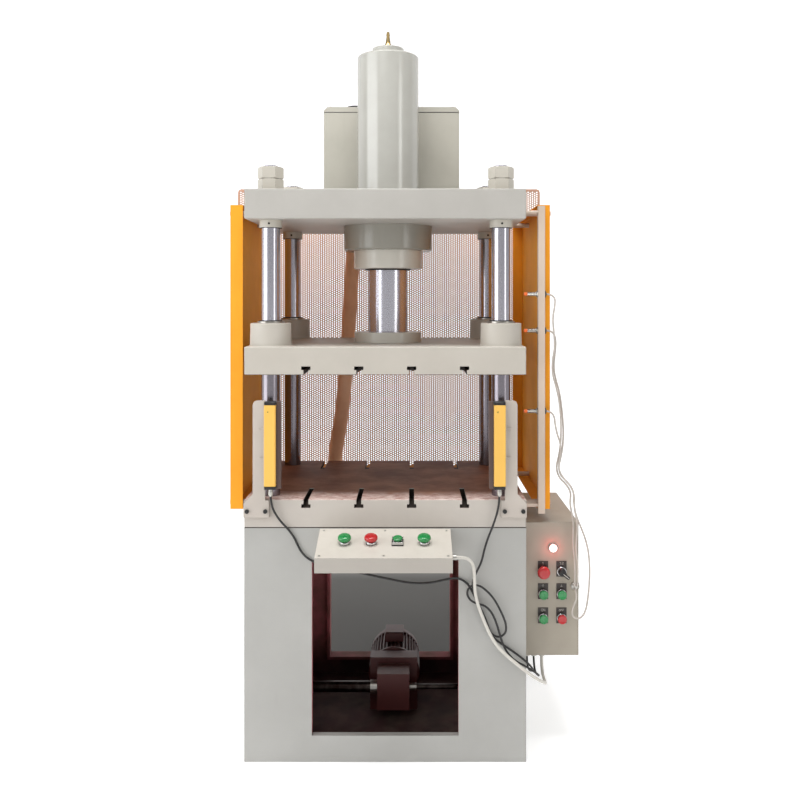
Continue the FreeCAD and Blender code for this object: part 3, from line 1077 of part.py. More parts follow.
PIPES = [
    ("rod_pipe", "pipe_dia", [
        (0, ROD_BOSS_Y, ROD_PORT_Z), (0, ROD_PIPE_Y, ROD_PORT_Z), (0, ROD_PIPE_Y, ROD_PIPE_Z),
        (RISE[0], ROD_PIPE_Y, ROD_PIPE_Z), (RISE[0], ROD_PIPE_Y, BLOCK_TOP)]),
    ("head_pipe", "pipe_dia", [
        (0, HEAD_Y, HEAD_PORT_Z - SIZES["union_length"]), (0, HEAD_Y, HEAD_PIPE_Z),
        (HEAD_PIPE_X, HEAD_Y, HEAD_PIPE_Z), (HEAD_PIPE_X, PIPE_Y, HEAD_PIPE_Z),
        (RISE[1], PIPE_Y, HEAD_PIPE_Z), (RISE[1], PIPE_Y, BLOCK_TOP)]),
    ("return_pipe", "return_pipe_dia", [
        (RISE[2], RETURN_Y, BLOCK_TOP), (RISE[2], RETURN_Y, RETURN_Z),
        (RETURN_X, TANK_PORT_Y, RETURN_Z), (RETURN_X, TANK_PORT_Y, CROWN_Z - UNION)]),
    ("pressure_pipe", "pipe_dia", [
        (SIZES["motor_x"] + PUMP_SIDE, PUMP_Y, PUMP_Z), (PRESSURE_X, PUMP_Y, PUMP_Z),
        (PRESSURE_X, PRESSURE_Y, PUMP_Z), (BLOCK_PORT_X, PRESSURE_Y, PUMP_Z),
        (BLOCK_PORT_X, PRESSURE_Y, SIZES["block_level"] - UNION)]),
    ("suction_pipe", "suction_pipe_dia", [
        (HOSE_X, INSIDE_Y, ELBOW_Z), (HOSE_X, SUCTION_Y, ELBOW_Z),
        (SUCTION_X, SUCTION_Y, ELBOW_Z), (SUCTION_X, SUCTION_Y, PUMP_Z),
        (SUCTION_X, PUMP_Y, PUMP_Z), (SIZES["motor_x"] - PUMP_SIDE, PUMP_Y, PUMP_Z)]),
]
kept_shape("hydraulic_pipes", Part.makeCompound(
    [tube(name, SIZES[size], route, PIPE_BEND) for name, size, route in PIPES]))


def union(name, dia, start, turn):
    """A round union nut from the face that a pipe ends on to the face that carries it."""
    return rod(name, dia, "union_length", start, turn)


BARREL_TOOL = rod("barrel_tool", "barrel_dia + 2 * barrel_fit", "barrel_top", ("0", "0", "0"))
GLAND_TOOL = rod("gland_tool", "gland_dia + 2 * barrel_fit", "crown_level", ("0", "0", "0"))
fittings = [
    cut("head_block_cut",
        box("head_block", ("40", "44", "44"), ("-20", "barrel_dia / 2 - 12", f"{HEAD_PORT} - 22")),
        BARREL_TOOL),
    cut("rod_boss_cut",
        rod("rod_boss", "port_boss_dia", "port_boss_reach + 12",
            ("0", "gland_dia / 2 - 12", ROD_PORT), "+Y"), GLAND_TOOL),
    union("union_rod", "union_dia", (RISE[0], ROD_PIPE_Y, BLOCK_TOP - UNION), "+Z"),
    union("union_head", "union_dia", (RISE[1], PIPE_Y, BLOCK_TOP - UNION), "+Z"),
    union("union_return", "return_union_dia", (RISE[2], RETURN_Y, BLOCK_TOP - UNION), "+Z"),
    union("union_tank", "return_union_dia", (RETURN_X, TANK_PORT_Y, CROWN_Z - UNION), "+Z"),
    union("union_block", "union_dia",
          (BLOCK_PORT_X, PRESSURE_Y, SIZES["block_level"] - UNION), "+Z"),
    union("union_pump", "union_dia", ("motor_x + pump_width / 2", PUMP_Y, PUMP_Z), "+X"),
    union("union_suction", "suction_pipe_dia + 2 * suction_wall", ("motor_x - pump_width / 2", PUMP_Y, PUMP_Z),
          "-X"),
    rod("hose_tank_end", "hose_end_dia", CROWN_Z - CABLES["suction_hose"][1][0][2],
        (CABLES["suction_hose"][1][0][0], HOSE_Y, CROWN_Z), "-Z"),
    joined("hose_elbow",
           rod("elbow_upright", "hose_end_dia",
               CABLES["suction_hose"][1][-1][2] - ELBOW_Z + SIZES["elbow_foot"],
               (HOSE_X, HOSE_Y + SIZES["elbow_offset"], ELBOW_Z - SIZES["elbow_foot"]), "+Z"),
           rod("elbow_across", "suction_pipe_dia", HOSE_Y - INSIDE_Y, (HOSE_X, INSIDE_Y, ELBOW_Z),
               "+Y")),
]


def cable_gland(name, dia, length, at, turn):
    """A gland: a round body outside the sheet and a thinner neck through it."""
    return turned(name, [
        ("0", "0"), (f"({dia}) / 2 - 1.5", "0"), (f"({dia}) / 2", "1.5"), (f"({dia}) / 2", length),
        ("gland_neck_dia / 2", length), ("gland_neck_dia / 2", f"{length} + 4 * cabinet_sheet"),
        ("0", f"{length} + 4 * cabinet_sheet")], at, turn)


fittings += [cable_gland(f"bottom_gland_{i}", "cable_gland_dia", "cable_gland_length",
                         (x, ENTRY_Y, "cabinet_bottom - cable_gland_length"), "+Z")
             for i, x in enumerate((LEFT_ENTRY, RIGHT_ENTRY, CONDUIT_ENTRY))]
fittings.append(cable_gland("front_gland", "sensor_gland_dia", "sensor_gland_length",
                            (GLAND_X, "cabinet_front - sensor_gland_length", GLAND_Z), "+Y"))
fittings.append(turned("console_gland", [
    ("0", "-2 * console_sheet"), ("grey_cable_dia / 2 + 1.5", "-2 * console_sheet"),
    ("grey_cable_dia / 2 + 1.5", "0"), ("grey_cable_dia / 2 + 3", "0"),
    ("grey_cable_dia / 2 + 3", "12"), ("0", "12")],
    ("console_length / 2", f"{FRONT} - 100", "console_bottom + 28"), "+X"))
fittings.append(box("cable_clip", ("clip_width", "clip_thickness", "clip_height"),
                    ("241 - clip_width / 2", f"{FRONT} - clip_thickness", "495")))
node(group("fitting_group", fittings), "line_fittings")

# ---------------------------------------------------------------------------------------------
# Checks and files
# ---------------------------------------------------------------------------------------------
doc.recompute()
for thing in doc.Objects:
    if any(word in thing.State for word in ("Invalid", "Error")):
        raise RuntimeError(f"{thing.Label} did not build: {thing.State}")
for piece in nodes:
    if not piece.Shape.isValid() or not piece.Shape.Solids or piece.Shape.Volume <= 0:
        raise RuntimeError(f"{piece.Label} is not a sound solid")
for piece in nodes:
    piece.Shape.exportStep(f"parts/{piece.Label}.step")
    size = piece.Shape.BoundBox
    print(f"{piece.Label}: {len(piece.Shape.Solids)} solid(s),"
          f" {size.XLength:.1f} x {size.YLength:.1f} x {size.ZLength:.1f} mm,"
          f" {piece.Shape.Volume / 1000:.0f} cm3")
print(f"{len(nodes)} nodes")
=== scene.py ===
"""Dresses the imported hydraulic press: finishes, detailed pieces, cables, light and camera."""
import logging
import math
from dataclasses import dataclass, field
from enum import Enum
from typing import Callable, Iterable, Sequence

import bpy
import numpy as np
from mathutils import Matrix, Vector


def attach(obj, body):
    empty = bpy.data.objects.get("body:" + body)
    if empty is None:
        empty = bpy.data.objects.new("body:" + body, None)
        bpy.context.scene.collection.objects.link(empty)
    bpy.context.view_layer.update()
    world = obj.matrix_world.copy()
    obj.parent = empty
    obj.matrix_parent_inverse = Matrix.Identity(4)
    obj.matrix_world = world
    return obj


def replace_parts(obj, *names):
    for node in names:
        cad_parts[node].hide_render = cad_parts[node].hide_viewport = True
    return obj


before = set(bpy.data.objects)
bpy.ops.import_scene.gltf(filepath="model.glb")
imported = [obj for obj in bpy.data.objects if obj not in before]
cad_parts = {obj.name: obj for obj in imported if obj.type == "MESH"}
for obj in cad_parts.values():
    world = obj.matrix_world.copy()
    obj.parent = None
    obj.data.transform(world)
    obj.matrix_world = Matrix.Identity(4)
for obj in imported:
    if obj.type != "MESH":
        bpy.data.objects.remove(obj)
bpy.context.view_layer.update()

logging.basicConfig(level=logging.INFO, format="%(message)s")
log = logging.getLogger("press")

Point = tuple[float, float, float]
MM = 0.001
ROOT = "press_frame"
SLIDE = "slide"


def rgb(red: float, green: float, blue: float) -> tuple[float, float, float, float]:
    """A display colour as a linear one.

    Args:
        red, green, blue: Display values from 0 to 255.

    Returns:
        Linear red, green and blue with an alpha of 1.
    """
    return (*(((c / 255 + 0.055) / 1.055) ** 2.4 if c > 10 else c / 255 / 12.92
              for c in (red, green, blue)), 1.0)


# ------------------------------------------------------------------
# Node trees
# ------------------------------------------------------------------
class Graph:
    """Short-hand for building one node tree."""

    def __init__(self, tree: bpy.types.NodeTree) -> None:
        """Args: tree: The tree that new nodes go into."""
        self.tree = tree

    def feed(self, socket: bpy.types.NodeSocket, value: object) -> None:
        """Links a socket, or sets its own value.

        Args:
            socket: The input to feed.
            value: Another node's output, or a plain value.
        """
        if isinstance(value, bpy.types.NodeSocket):
            self.tree.links.new(value, socket)
        else:
            socket.default_value = value

    def add(self, kind: str, inputs: dict | None = None, **settings: object) -> bpy.types.Node:
        """Adds a node.

        Args:
            kind: The node's type without its ShaderNode prefix.
            inputs: What each input takes, by name or number.
            settings: The node's own properties.

        Returns:
            The new node.
        """
        node = self.tree.nodes.new(kind if kind.startswith("Node") else f"ShaderNode{kind}")
        for name, value in settings.items():
            setattr(node, name, value)
        for name, value in (inputs or {}).items():
            self.feed(node.inputs[name], value)
        return node

    def math(self, operation: str, *values: object, clamp: bool = False) -> bpy.types.NodeSocket:
        """One step of arithmetic on numbers or sockets; returns its output."""
        node = self.add("Math", dict(enumerate(values)), operation=operation, use_clamp=clamp)
        return node.outputs[0]

    def step(self, value: object, low: float, high: float) -> bpy.types.NodeSocket:
        """A smooth step from 0 at low to 1 at high; low may lie above high."""
        node = self.add("MapRange", {"Value": value, "From Min": low, "From Max": high},
                        interpolation_type="SMOOTHSTEP")
        return node.outputs[0]

    def blend(self, factor: object, first: object, second: object,
              kind: str = "MIX") -> bpy.types.NodeSocket:
        """Mixes two colours.

        Args:
            factor: 0 for the first, 1 for the second, or a socket.
            first, second: Colours or sockets.
            kind: How they mix, MULTIPLY to stain the first with the second.

        Returns:
            The mixed colour.
        """
        node = self.add("Mix", data_type="RGBA", blend_type=kind)
        self.feed(node.inputs[0], factor)
        self.feed(node.inputs[6], first)
        self.feed(node.inputs[7], second)
        return node.outputs[2]

    def noise(self, place: object, scale: float, detail: float = 3.0,
              roughness: float = 0.55) -> bpy.types.NodeSocket:
        """Noise from 0 to 1 at a place; scale is in cycles per metre."""
        return self.add("TexNoise", {"Vector": place, "Scale": scale, "Detail": detail,
                                     "Roughness": roughness}).outputs[0]

    def place(self, stretch: Point = (1.0, 1.0, 1.0)) -> bpy.types.NodeSocket:
        """Object coordinates in metres.

        Args:
            stretch: Factor along each axis; a small one draws a pattern out.

        Returns:
            The coordinates.
        """
        node = self.add("TexCoord")
        if stretch == (1.0, 1.0, 1.0):
            return node.outputs["Object"]
        return self.add("Mapping", {0: node.outputs["Object"], 3: stretch}).outputs[0]

    def axes(self) -> list[bpy.types.NodeSocket]:
        """The three object coordinates as numbers."""
        return list(self.add("SeparateXYZ", {0: self.place()}).outputs)

    def within(self, half: tuple[float, float]) -> bpy.types.NodeSocket:
        """A mask of what lies inside an upright block round the Z axis.

        It is 1 where the larger of |x| - half[0] and |y| - half[1] is below 0.

        Args:
            half: Half the block's width and half its depth, in metres.

        Returns:
            The mask.
        """
        x, y, _ = self.axes()
        beyond = self.math("MAXIMUM",
                           self.math("SUBTRACT", self.math("ABSOLUTE", x), half[0]),
                           self.math("SUBTRACT", self.math("ABSOLUTE", y), half[1]))
        return self.math("LESS_THAN", beyond, 0.0)

    def facing(self) -> list[bpy.types.NodeSocket]:
        """The true normal's three parts."""
        return list(self.add("SeparateXYZ", {0: self.add("NewGeometry").outputs["True Normal"]})
                    .outputs)


class Group(Enum):
    """The node groups that several finishes share."""

    EDGE_WEAR = "edge_wear"
    GRAIN = "grain"
    DUST = "dust"


def _open_group(name: str, inputs: dict[str, float], outputs: Iterable[tuple[str, str]]
                ) -> tuple[bpy.types.NodeTree, Graph, bpy.types.Node, bpy.types.Node]:
    """A new shader group with its own sockets.

    Args:
        name: The group's name.
        inputs: Number inputs with their defaults.
        outputs: Pairs of name and socket type.

    Returns:
        The group's tree, a Graph on it, its input node and its output node.
    """
    tree = bpy.data.node_groups.new(name, "ShaderNodeTree")
    for label, default in inputs.items():
        socket = tree.interface.new_socket(label, in_out="INPUT", socket_type="NodeSocketFloat")
        socket.default_value = default
    for label, kind in outputs:
        tree.interface.new_socket(label, in_out="OUTPUT", socket_type=kind)
    graph = Graph(tree)
    return tree, graph, graph.add("NodeGroupInput"), graph.add("NodeGroupOutput")


def edge_wear_group() -> bpy.types.NodeTree:
    """Worn edges.

    Returns:
        A group whose Mask is 1 where an edge is rubbed bare and whose Normal rounds the edges.
    """
    tree, graph, given, result = _open_group(
        Group.EDGE_WEAR.value, {"Radius": 0.002, "Amount": 0.5},
        [("Mask", "NodeSocketFloat"), ("Normal", "NodeSocketVector")])
    bevel = graph.add("Bevel", {"Radius": given.outputs["Radius"]}, samples=4)
    flat = graph.add("NewGeometry").outputs["Normal"]
    same = graph.add("VectorMath", {0: bevel.outputs[0], 1: flat}, operation="DOT_PRODUCT")
    sharp = graph.math("SUBTRACT", 1.0, same.outputs["Value"])
    patchy = graph.noise(graph.place(), 60.0, 4.0)
    need = graph.math("SUBTRACT", 1.1, graph.math("MULTIPLY", given.outputs["Amount"], 0.6))
    mask = graph.math("GREATER_THAN", graph.math("ADD", graph.math("MULTIPLY", sharp, 2.5),
                                                 graph.math("MULTIPLY", patchy, 0.8)), need)
    graph.feed(result.inputs["Mask"], mask)
    graph.feed(result.inputs["Normal"], bevel.outputs[0])
    return tree


def grain_group() -> bpy.types.NodeTree:
    """Surface grain.

    Returns:
        A group whose Value is fine and whose Cloud is coarse, both from 0 to 1.
    """
    tree, graph, given, result = _open_group(
        Group.GRAIN.value, {"Scale": 400.0},
        [("Value", "NodeSocketFloat"), ("Cloud", "NodeSocketFloat")])
    place = graph.place()
    fine = graph.add("TexNoise", {"Vector": place, "Scale": given.outputs["Scale"], "Detail": 2.0})
    cloud = graph.noise(place, 5.0, 5.0, 0.6)
    graph.feed(result.inputs["Value"], fine.outputs[0])
    graph.feed(result.inputs["Cloud"], cloud)
    return tree


def dust_group() -> bpy.types.NodeTree:
    """Dust that has settled.

    Returns:
        A group whose Mask is high on patches that face up.
    """
    tree, graph, given, result = _open_group(
        Group.DUST.value, {"Amount": 0.5}, [("Mask", "NodeSocketFloat")])
    up = graph.step(graph.facing()[2], 0.4, 0.95)
    patches = graph.step(graph.noise(graph.place(), 14.0, 6.0, 0.65), 0.35, 0.75)
    mask = graph.math("MULTIPLY", graph.math("MULTIPLY", up, patches), given.outputs["Amount"],
                      clamp=True)
    graph.feed(result.inputs["Mask"], mask)
    return tree


GROUP_MAKERS: dict[Group, Callable[[], bpy.types.NodeTree]] = {
    Group.EDGE_WEAR: edge_wear_group, Group.GRAIN: grain_group, Group.DUST: dust_group,
}


def use_group(graph: Graph, group: Group, **inputs: float) -> bpy.types.Node:
    """Puts a shared group into a tree, making it the first time.

    Args:
        graph: The tree that uses the group.
        group: Which group.
        inputs: Its number inputs.

    Returns:
        The group node.
    """
    tree = bpy.data.node_groups.get(group.value) or GROUP_MAKERS[group]()
    node = graph.add("Group", node_tree=tree)
    for name, value in inputs.items():
        graph.feed(node.inputs[name.capitalize()], value)
    return node


# ------------------------------------------------------------------
# Finishes
# ------------------------------------------------------------------
Colour = tuple[float, float, float, float]
PLATE_CORE = (0.3992, 0.2992)  # half width and depth of the pressing plates, less a hair


@dataclass(frozen=True)
class Finish:
    """One kind of surface. A subclass fills in the shader; the material is made once.

    Attributes:
        name: The material's name.
    """

    name: str

    def material(self) -> bpy.types.Material:
        """The finish as a material, made the first time it is asked for.

        Returns:
            The material.
        """
        made = bpy.data.materials.get(self.name)
        if made is None:
            made = bpy.data.materials.new(self.name)
            made.use_nodes = True
            graph = Graph(made.node_tree)
            shader = made.node_tree.nodes["Principled BSDF"]
            self.shade(graph, shader)
        return made

    def shade(self, graph: Graph, shader: bpy.types.Node) -> None:
        """Fills in the shader.

        Args:
            graph: The material's tree.
            shader: Its Principled BSDF.
        """
        raise NotImplementedError

    def bump(self, graph: Graph, height: object, distance: float, strength: float = 1.0,
             normal: object = None) -> bpy.types.NodeSocket:
        """A bumped normal.

        Args:
            graph: The material's tree.
            height: A socket from 0 to 1.
            distance: What a height of 1 stands for, in metres.
            strength: How much of the bump is used.
            normal: The normal to start from, or None for the surface's own.

        Returns:
            The bumped normal.
        """
        inputs = {"Height": height, "Distance": distance, "Strength": strength}
        if normal is not None:
            inputs["Normal"] = normal
        return graph.add("Bump", inputs).outputs[0]


@dataclass(frozen=True)
class Paint(Finish):
    """Sprayed machine enamel with worn edges, soft stains and a little dust.

    Attributes:
        colour: Linear paint colour.
        roughness: Mean roughness.
        wear: How far the edges are rubbed, from 0 to 1.
        dust: How much dust lies on what faces up.
        stain: How strong the slow colour changes are.
        metal: Colour under the paint.
        radius: Radius of the rounded edges, in metres.
        gloss: Strength of its mirror reflection, 0.5 on common enamel.
    """

    colour: Colour = (0.5, 0.5, 0.5, 1.0)
    roughness: float = 0.38
    wear: float = 0.35
    dust: float = 0.25
    stain: float = 0.10
    metal: Colour = (0.16, 0.14, 0.12, 1.0)
    radius: float = 0.0015
    gloss: float = 0.5

    def tint(self, graph: Graph) -> object:
        """The paint's colour before stains, as a colour or a socket."""
        return self.colour

    def matte(self, graph: Graph) -> object:
        """What is added to the roughness, as a number or a socket."""
        return 0.0

    def shade(self, graph: Graph, shader: bpy.types.Node) -> None:
        """Enamel: stains, edge wear, dust and orange peel."""
        shader.inputs["Specular IOR Level"].default_value = self.gloss
        grain = use_group(graph, Group.GRAIN, scale=260.0)
        edges = use_group(graph, Group.EDGE_WEAR, radius=self.radius, amount=self.wear)
        dust = use_group(graph, Group.DUST, amount=self.dust)
        base = self.tint(graph)
        slow = graph.step(grain.outputs["Cloud"], 0.30, 0.72)
        drip = graph.step(graph.noise(graph.place((1.0, 1.0, 0.12)), 26.0, 4.0), 0.62, 0.85)
        marks = graph.math("ADD", graph.math("MULTIPLY", slow, self.stain),
                           graph.math("MULTIPLY", drip, self.stain * 0.6), clamp=True)
        soiled = graph.blend(marks, base, rgb(118, 104, 88), "MULTIPLY")
        dust_and_lit_tone = graph.blend(graph.math("MULTIPLY", dust.outputs[0], 0.6), soiled,
                            rgb(150, 138, 122))
        worn = graph.math("MULTIPLY", edges.outputs["Mask"], min(1.0, self.wear * 2))
        graph.feed(shader.inputs["Base Color"], graph.blend(worn, dust_and_lit_tone, self.metal))
        rough = graph.math("ADD", self.roughness, graph.math("MULTIPLY", grain.outputs["Cloud"],
                                                             0.14))
        rough = graph.math("ADD", rough, self.matte(graph))
        rough = graph.math("ADD", rough, graph.math("MULTIPLY", dust.outputs[0], 0.3), clamp=True)
        graph.feed(shader.inputs["Roughness"], rough)
        graph.feed(shader.inputs["Normal"], self.bump(
            graph, grain.outputs["Value"], 0.00008, 0.6, edges.outputs["Normal"]))


@dataclass(frozen=True)
class BasePaint(Paint):
    """The base: enamel outside, dark primer on every inner face and in the windows.

    Attributes:
        inner: The primer's colour.
        shell: Half the base's width and depth less a hair, in metres.
        sill_front, sill_top: The window's sill lies in front of this Y and under this height.
        seam_low: The dark seam under the table starts here.
    """

    inner: Colour = (0.05, 0.01, 0.01, 1.0)
    shell: tuple[float, float] = (0.3994, 0.2994)
    sill_front: float = -0.2795
    sill_top: float = 0.0765
    seam_low: float = 0.6636

    def tint(self, graph: Graph) -> object:
        """Outer enamel, or primer where the face lies inside the base, darker near the floor as
        painted shade.
        """
        _, y, z = graph.axes()
        inside = graph.within(self.shell)
        patch = graph.blend(graph.step(graph.noise(graph.place(), 9.0, 5.0), 0.35, 0.7),
                            self.inner, rgb(140, 92, 84))
        # Painted shade: the primer inside the base darkens towards the floor, where little light
        # reaches.
        low = graph.step(z, 0.13, 0.03)
        low_shade = graph.blend(graph.math("MULTIPLY", low, 0.92), patch, rgb(30, 24, 21))
        sill = graph.math("MULTIPLY", graph.math("LESS_THAN", y, self.sill_front),
                          graph.math("LESS_THAN", z, self.sill_top))
        inner = graph.blend(sill, low_shade, self.colour)
        seam = graph.math("GREATER_THAN", z, self.seam_low)
        return graph.blend(seam, graph.blend(inside, self.colour, inner), rgb(70, 62, 56))

    def matte(self, graph: Graph) -> object:
        """The primer inside is dull."""
        return graph.math("MULTIPLY", graph.within(self.shell), 0.45)


@dataclass(frozen=True)
class TablePaint(Paint):
    """The worktable: enamel on its sides, bare steel under oil on its top and in its slots, which
    get painted shade.

    Attributes:
        slot_steel_shade: The colour inside the tee slots: bare steel darkened as painted shade.
        slot_high: The slots' inner faces lie below this height, in metres.
    """

    slot_steel_shade: Colour = rgb(52, 44, 38)
    slot_high: float = 0.7425

    def tint(self, graph: Graph) -> object:
        """Browned steel on top, with a paler streaky band along its front edge as a painted
        highlight; enamel elsewhere.
        """
        _, y, z = graph.axes()
        up = graph.facing()[2]
        place = graph.place()
        blotch = graph.noise(place, 7.0, 8.0, 0.65)
        smear = graph.noise(graph.place((0.6, 2.6, 1.0)), 9.0, 6.0, 0.6)
        oil = graph.blend(graph.step(blotch, 0.35, 0.68), rgb(116, 71, 52), rgb(166, 118, 94))
        oil = graph.blend(graph.step(smear, 0.55, 0.7), oil, rgb(132, 91, 71))
        # Painted highlight: a pale, pinkish band along the top's front edge, with fine streaks.
        fine = graph.noise(graph.place((1.0, 3.0, 1.0)), 40.0, 4.0, 0.7)
        front_highlight = graph.blend(graph.step(fine, 0.35, 0.65), rgb(172, 126, 115),
                            rgb(232, 212, 204))
        # Where the painted highlight lies: along the front edge, with a blotchy border.
        edge = graph.step(graph.math("ADD", y, graph.math("MULTIPLY", blotch, 0.16)),
                          -0.10, -0.185)
        top = graph.blend(edge, oil, front_highlight)
        is_top = graph.step(up, 0.55, 0.8)
        # Painted shade: the tee slots' inner faces are painted dark.
        slot = graph.math("MULTIPLY", graph.within(PLATE_CORE),
                          graph.math("LESS_THAN", z, self.slot_high))
        painted = graph.blend(slot, self.colour, self.slot_steel_shade)
        return graph.blend(is_top, painted, graph.blend(slot, top, self.slot_steel_shade))


@dataclass(frozen=True)
class ConsolePaint(Paint):
    """The console: enamel with painted shade on the faces towards the operator."""

    def tint(self, graph: Graph) -> object:
        """The enamel, a little darker as painted shade where it faces the operator."""
        # Painted shade: faces towards the operator get a darker enamel.
        front = graph.step(graph.facing()[1], -0.80, -0.97)
        return graph.blend(graph.math("MULTIPLY", front, 0.9), self.colour, rgb(164, 158, 150))


@dataclass(frozen=True)
class SlidePaint(Paint):
    """The slide: enamel, with bare steel in the tee slots of its underside, darkened as painted
    shade.

    Attributes:
        slot_steel_shade: The colour inside the tee slots: bare steel darkened as painted shade.
        slot_high: The slots' inner faces lie below this height, in metres.
    """

    slot_steel_shade: Colour = rgb(58, 50, 44)
    slot_high: float = 1.14

    def tint(self, graph: Graph) -> object:
        """Dark steel as painted shade where the face lies inside the plate's block, enamel
        elsewhere.
        """
        z = graph.axes()[2]
        # Painted shade: the tee slots' inner faces are painted dark.
        slot = graph.math("MULTIPLY", graph.within(PLATE_CORE),
                          graph.math("LESS_THAN", z, self.slot_high))
        return graph.blend(slot, self.colour, self.slot_steel_shade)


@dataclass(frozen=True)
class BracketPaint(Paint):
    """The light curtains' brackets: enamel plates, black screws and painted shade on the inner
    legs.

    Attributes:
        screw_front, screw_top: The screws stand in front of this Y and under this height.
        leg_inside, leg_foot: The inner legs lie within this X and above this height, in metres.
    """

    screw_front: float = -0.3122
    screw_top: float = 0.74
    leg_inside: float = 0.3054
    leg_foot: float = 0.75

    def tint(self, graph: Graph) -> object:
        """Black for the screws below the table top, dark brown painted shade for the inner legs.
        """
        x, y, z = graph.axes()
        heads = graph.math("MULTIPLY", graph.math("LESS_THAN", y, self.screw_front),
                           graph.math("LESS_THAN", z, self.screw_top))
        # Painted shade: the inner legs stand in shadow and are painted dark brown.
        near = graph.math("LESS_THAN", graph.math("ABSOLUTE", x), self.leg_inside)
        leg_shade = graph.math("MULTIPLY", near, graph.math("GREATER_THAN", z, self.leg_foot))
        dark = graph.blend(leg_shade, self.colour, rgb(92, 72, 66))
        return graph.blend(heads, dark, rgb(22, 22, 22))


@dataclass(frozen=True)
class Metal(Finish):
    """Bare or plated metal with fine marks along one direction.

    Attributes:
        colour: Linear reflection colour.
        roughness: Mean roughness.
        stretch: How the marks are drawn out; a small number draws them out along that axis.
        marks: How far the marks change roughness.
        tarnish: How strong the darker film is.
        film: The film's colour.
        radius: Radius of the rounded edges, in metres.
        relief: How far the marks stand out.
        metallic: 1 for clean metal, less where a dull film scatters light.
    """

    colour: Colour = (0.7, 0.7, 0.7, 1.0)
    roughness: float = 0.2
    stretch: Point = (1.0, 1.0, 0.05)
    marks: float = 0.10
    tarnish: float = 0.15
    film: Colour = (0.25, 0.22, 0.20, 1.0)
    radius: float = 0.0006
    relief: float = 0.35
    metallic: float = 1.0

    def tint(self, graph: Graph) -> object:
        """The metal's colour before its film."""
        return self.colour

    def shade(self, graph: Graph, shader: bpy.types.Node) -> None:
        """Metal: a thin film, drawn marks and rounded edges."""
        edges = use_group(graph, Group.EDGE_WEAR, radius=self.radius, amount=0.3)
        line = graph.noise(graph.place(self.stretch), 900.0, 2.0)
        film = graph.step(graph.noise(graph.place((1.0, 1.0, 0.35)), 17.0, 5.0), 0.42, 0.75)
        film = graph.math("MULTIPLY", film, self.tarnish)
        graph.feed(shader.inputs["Base Color"], graph.blend(film, self.tint(graph), self.film))
        rough = graph.math("ADD", self.roughness - self.marks / 2,
                           graph.math("MULTIPLY", line, self.marks))
        graph.feed(shader.inputs["Roughness"], graph.math(
            "ADD", rough, graph.math("MULTIPLY", film, 0.35), clamp=True))
        shader.inputs["Metallic"].default_value = self.metallic
        graph.feed(shader.inputs["Normal"], self.bump(graph, line, 0.00002,
                                                      self.relief, edges.outputs["Normal"]))


@dataclass(frozen=True)
class ColumnMetal(Metal):
    """The columns: bright above the slide, darker below it.

    Attributes:
        below_slide_colour: The colour below the slide.
        clean, soaked: Heights where the darkening ends and where it is full, in metres.
    """

    below_slide_colour: Colour = rgb(136, 131, 138)
    clean: float = 1.24
    dark_full: float = 1.10

    def tint(self, graph: Graph) -> object:
        """The metal's colour, darker below the slide."""
        # Darker towards the bottom, below the slide.
        below = graph.step(graph.axes()[2], self.clean, self.dark_full)
        return graph.blend(below, self.colour, self.below_slide_colour)


@dataclass(frozen=True)
class PipeMetal(Metal):
    """Drawn pipes: clean behind the press, painted black inside the base as painted shade.

    Attributes:
        black: The painted shade's colour on the stretch inside the base.
        back, top: That stretch lies in front of this Y and below this height, in metres.
    """

    black: Colour = rgb(34, 24, 22)
    back: float = 0.29
    top: float = 0.66

    def tint(self, graph: Graph) -> object:
        """The metal's colour, or black painted shade where the pipe runs inside the base."""
        _, y, z = graph.axes()
        # Painted shade: the pipes inside the base are painted near black.
        inside = graph.math("MULTIPLY", graph.math("LESS_THAN", y, self.back),
                            graph.math("LESS_THAN", z, self.top))
        return graph.blend(inside, self.colour, self.black)


@dataclass(frozen=True)
class TippedMetal(Metal):
    """Plated sensor barrels with a plastic tip and a dark cable end.

    Attributes:
        low, high: The barrel lies between these places along X, in metres.
        tip: The tip's colour.
        end: The cable end's colour.
    """

    low: float = 0.0
    high: float = 1.0
    tip: Colour = (0.9, 0.25, 0.03, 1.0)
    end: Colour = (0.05, 0.05, 0.05, 1.0)

    def shade(self, graph: Graph, shader: bpy.types.Node) -> None:
        """Threads on the barrel; the tip and the end are plastic."""
        x, _, _ = graph.axes()
        tip = graph.math("LESS_THAN", x, self.low)
        end = graph.math("GREATER_THAN", x, self.high)
        plastic = graph.math("ADD", tip, end, clamp=True)
        colour = graph.blend(tip, graph.blend(end, self.colour, self.end), self.tip)
        graph.feed(shader.inputs["Base Color"], colour)
        graph.feed(shader.inputs["Metallic"], graph.math("SUBTRACT", 1.0, plastic))
        graph.feed(shader.inputs["Roughness"], graph.math(
            "ADD", self.roughness, graph.math("MULTIPLY", plastic, 0.2)))
        thread = graph.math("PINGPONG", x, 0.0005)
        thread = graph.math("MULTIPLY", graph.math("MULTIPLY", thread, 2000.0),
                            graph.math("SUBTRACT", 1.0, plastic))
        graph.feed(shader.inputs["Normal"], self.bump(graph, thread, 0.0004, 0.8))


